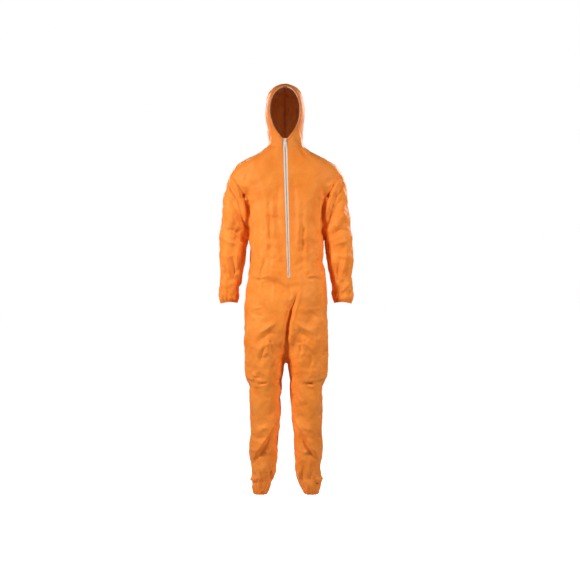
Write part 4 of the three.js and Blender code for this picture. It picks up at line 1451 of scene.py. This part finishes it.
# %% [markdown]
# ## Light and floor
#
# Two soft boxes stand beside the camera, a little above the shoulders and wide apart, so the
# insides of the arms and legs stay deep. The right one is stronger, because two equal lights
# would cancel each other's shading on the folds. Two weaker boxes light the back. The floor is
# plain and pale, far enough below to catch hardly any shadow.

# %% Light
def soft_box(name, place, aim, size, power, spread):
    light = bpy.data.lights.new(name, "AREA")
    light.shape, light.size, light.energy = "SQUARE", size, power
    light.spread = math.radians(spread)
    made = bpy.data.objects.new(name, light)
    made.location = place
    made.rotation_euler = (Vector(aim) - Vector(place)).to_track_quat("-Z", "Y").to_euler()
    bpy.context.scene.collection.objects.link(made)


BOXES = [  # name, place, height aimed at, size in m, power in W, spread in degrees
    ("left soft box", (1.95, -1.40, 0.40), -0.70, 0.5, 13, 100),
    ("right soft box", (-1.95, -1.40, 0.40), -0.70, 0.5, 19, 100),
    ("left rear box", (1.5, 2.2, 0.75), -0.5, 0.8, 10, 90),
    ("right rear box", (-1.5, 2.2, 0.75), -0.5, 0.6, 8, 90),
]
for name, place, aim_height, size, power, spread in BOXES:
    soft_box(name, place, (0, 0, aim_height), size, power, spread)

world = bpy.data.worlds.new("studio")
bpy.context.scene.world = world
world.use_nodes = True
air = world.node_tree
rays = add_node(air, "ShaderNodeLightPath")
strength = add_node(air, "ShaderNodeMapRange", {
    "Value": rays.outputs["Is Camera Ray"], "To Min": 0.05, "To Max": 1.0})
sky = air.nodes["Background"]
sky.inputs["Color"].default_value = dye("#ffffff")
air.links.new(strength.outputs["Result"], sky.inputs["Strength"])
bpy.context.scene.view_settings.view_transform = "Standard"

# %% Floor
FLOOR = -1.52
FLOOR_HALF = 30
corners = [(-1, -1), (1, -1), (1, 1), (-1, 1)]
floor = new_object(
    "floor", [(x * FLOOR_HALF, y * FLOOR_HALF, FLOOR) for x, y in corners], [(0, 1, 2, 3)])
paper, paper_tree, paper_shader, paper_place = new_finish("seamless paper, white")
mottle = add_node(paper_tree, "ShaderNodeTexNoise", {"Vector": paper_place, "Scale": 3.0})
tone = add_node(paper_tree, "ShaderNodeMix", {
    "Factor": mottle.outputs["Fac"], "A": dye("#d2d2d1"), "B": dye("#d9d9d8")}, data_type="RGBA")
paper_tree.links.new(tone.outputs["Result"], paper_shader.inputs["Base Color"])
paper_shader.inputs["Roughness"].default_value = 0.9
paper_shader.inputs["Emission Color"].default_value = dye("#ffffff")
seen = add_node(paper_tree, "ShaderNodeLightPath")
glow = add_node(paper_tree, "ShaderNodeMapRange", {
    "Value": seen.outputs["Is Camera Ray"], "To Min": 0.0, "To Max": 1.0})
paper_tree.links.new(glow.outputs["Result"], paper_shader.inputs["Emission Strength"])
floor.data.materials.append(paper)
print("floor at", FLOOR)

# %% [markdown]
# ## Finishes, and bodies for some pieces
#
# Panels of the trunk ride on it, and the hems, the elastic, the zip and the label go on the torso,
# a sleeve or a shin.
# A sleeve, a leg or a hood half, and the pieces round the face, only have their placement baked
# into their points and go on no body.

# %% Finishes and motion
SLOTS = {"cloth": cloth, "hem_cloth": hem_cloth, "zip_white": tape_weave, "elastic": elastic_knit,
         "zip_metal": lacquer, "label": label_strip}


def dress(piece, slot, *nodes, finish=None):
    """Gives a piece that has no finish yet the one of its slot, and hides the CAD nodes that it
    stands for.
    """
    if not piece.data.materials:
        piece.data.materials.append(finish or SLOTS[slot])
    if nodes:
        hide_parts(*nodes)


def at_armhole(piece):
    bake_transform(piece)


def at_groin(piece):
    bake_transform(piece)


def at_knee(piece):
    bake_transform(piece)


def at_neck(piece):
    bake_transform(piece)


for name, side in SIDES.items():
    for panel in ("front_panel", "back_panel"):
        dress(panels[f"{panel}_{name}"], "cloth", f"{panel}_{name}")
        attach(panels[f"{panel}_{name}"], "torso")
    sleeve = panels[f"sleeve_{name}"]
    dress(sleeve, "cloth", f"armhole_band_{name}", f"sleeve_{name}")
    at_armhole(sleeve)
    upper, lower = panels[f"leg_upper_{name}"], panels[f"leg_lower_{name}"]
    dress(upper, "cloth", f"leg_top_band_{name}", f"thigh_{name}")
    at_groin(upper)
    dress(lower, "cloth", f"knee_band_{name}", f"shin_{name}")
    at_knee(lower)
    hood_half = panels[f"hood_{name}"]
    dress(hood_half, "cloth", f"collar_{name}", f"hood_panel_{name}")
    at_neck(hood_half)
    for part, body, elastic in (("cuff", "sleeve", "wrist"), ("ankle", "shin", "ankle")):
        dress(panels[f"{part}_hem_{name}"], "hem_cloth", f"{part}_hem_{name}")
        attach(panels[f"{part}_hem_{name}"], f"{body}_{name}")
        dress(bands[f"{elastic}_elastic_{name}"], "elastic", f"{elastic}_elastic_{name}")
        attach(bands[f"{elastic}_elastic_{name}"], f"{body}_{name}")
        dress(stitches[f"stitches_{part}_{name}"], "hem_cloth")
        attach(stitches[f"stitches_{part}_{name}"], f"{body}_{name}")
    for row, slot, nodes in ((tapes[f"zip_tape_{name}"], "zip_white", [f"zip_tape_{name}"]),
                             (teeth[f"zip_coil_{name}"], "zip_white", [f"zip_coil_{name}"]),
                             (stitches[f"stitches_zip_{name}"], "hem_cloth", []),
                             (stops[f"zip_top_stop_{name}"], "zip_metal",
                              [f"zip_top_stop_{name}"])):
        dress(row, slot, *nodes)
        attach(row, "torso")
for piece, slot, nodes in ((bands["waist_elastic"], "elastic", ["waist_elastic"]),
                           (neck_label, "label", ["neck_label"]),
                           (stops["zip_bottom_stop"], "zip_metal", ["zip_bottom_stop"])):
    dress(piece, slot, *nodes)
    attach(piece, "torso")
for piece, slot, nodes in ((face_hem, "hem_cloth", ["face_hem"]),
                           (bands["face_elastic"], "elastic", ["face_elastic"]),
                           (hood_seam, "cloth", []), (stitches["stitches_face"], "hem_cloth", []),
                           (stitches["face_edge_thread"], "hem_cloth", []),
                           (stitches["hood_seam_thread"], "hem_cloth", [])):
    dress(piece, slot, *nodes)
    at_neck(piece)
dress(slider, "zip_metal", "zip_slider")
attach(slider, "zip_slider")
dress(pull, "zip_metal", "zip_pull")
dress(pull_ears, "zip_metal", "zip_pull")
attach(pull, "zip_pull")
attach(pull_ears, "zip_pull")

# %% [markdown]
# ## Cloth as it was cut
#
# Each panel is a sheet of cloth. The table lists the width and length of the rectangle it is cut
# from and how it is held, but the loop below only looks each panel up; the area of the cut itself
# was kept on each panel as flat_area when its shell was made.

# %% Flat sizes
FLAT = {  # width and length in metres, and how the sheet is held
    "front_panel": (0.31, 0.84, "draped"), "back_panel": (0.30, 0.84, "draped"),
    "sleeve": (0.44, 0.60, "hung"), "leg_upper": (0.56, 0.32, "hung"),
    "leg_lower": (0.52, 0.52, "hung"), "hood": (0.26, 0.34, "draped"),
    "cuff_hem": (0.30, 0.018, "gathered"), "ankle_hem": (0.31, 0.020, "gathered"),
}
for name in SIDES:
    for part, (width, length, hold) in FLAT.items():
        panel = panels[f"{part}_{name}"]
round(half_area(face_hem), 4)
print("sheets told", len(FLAT) * 2 + 2)
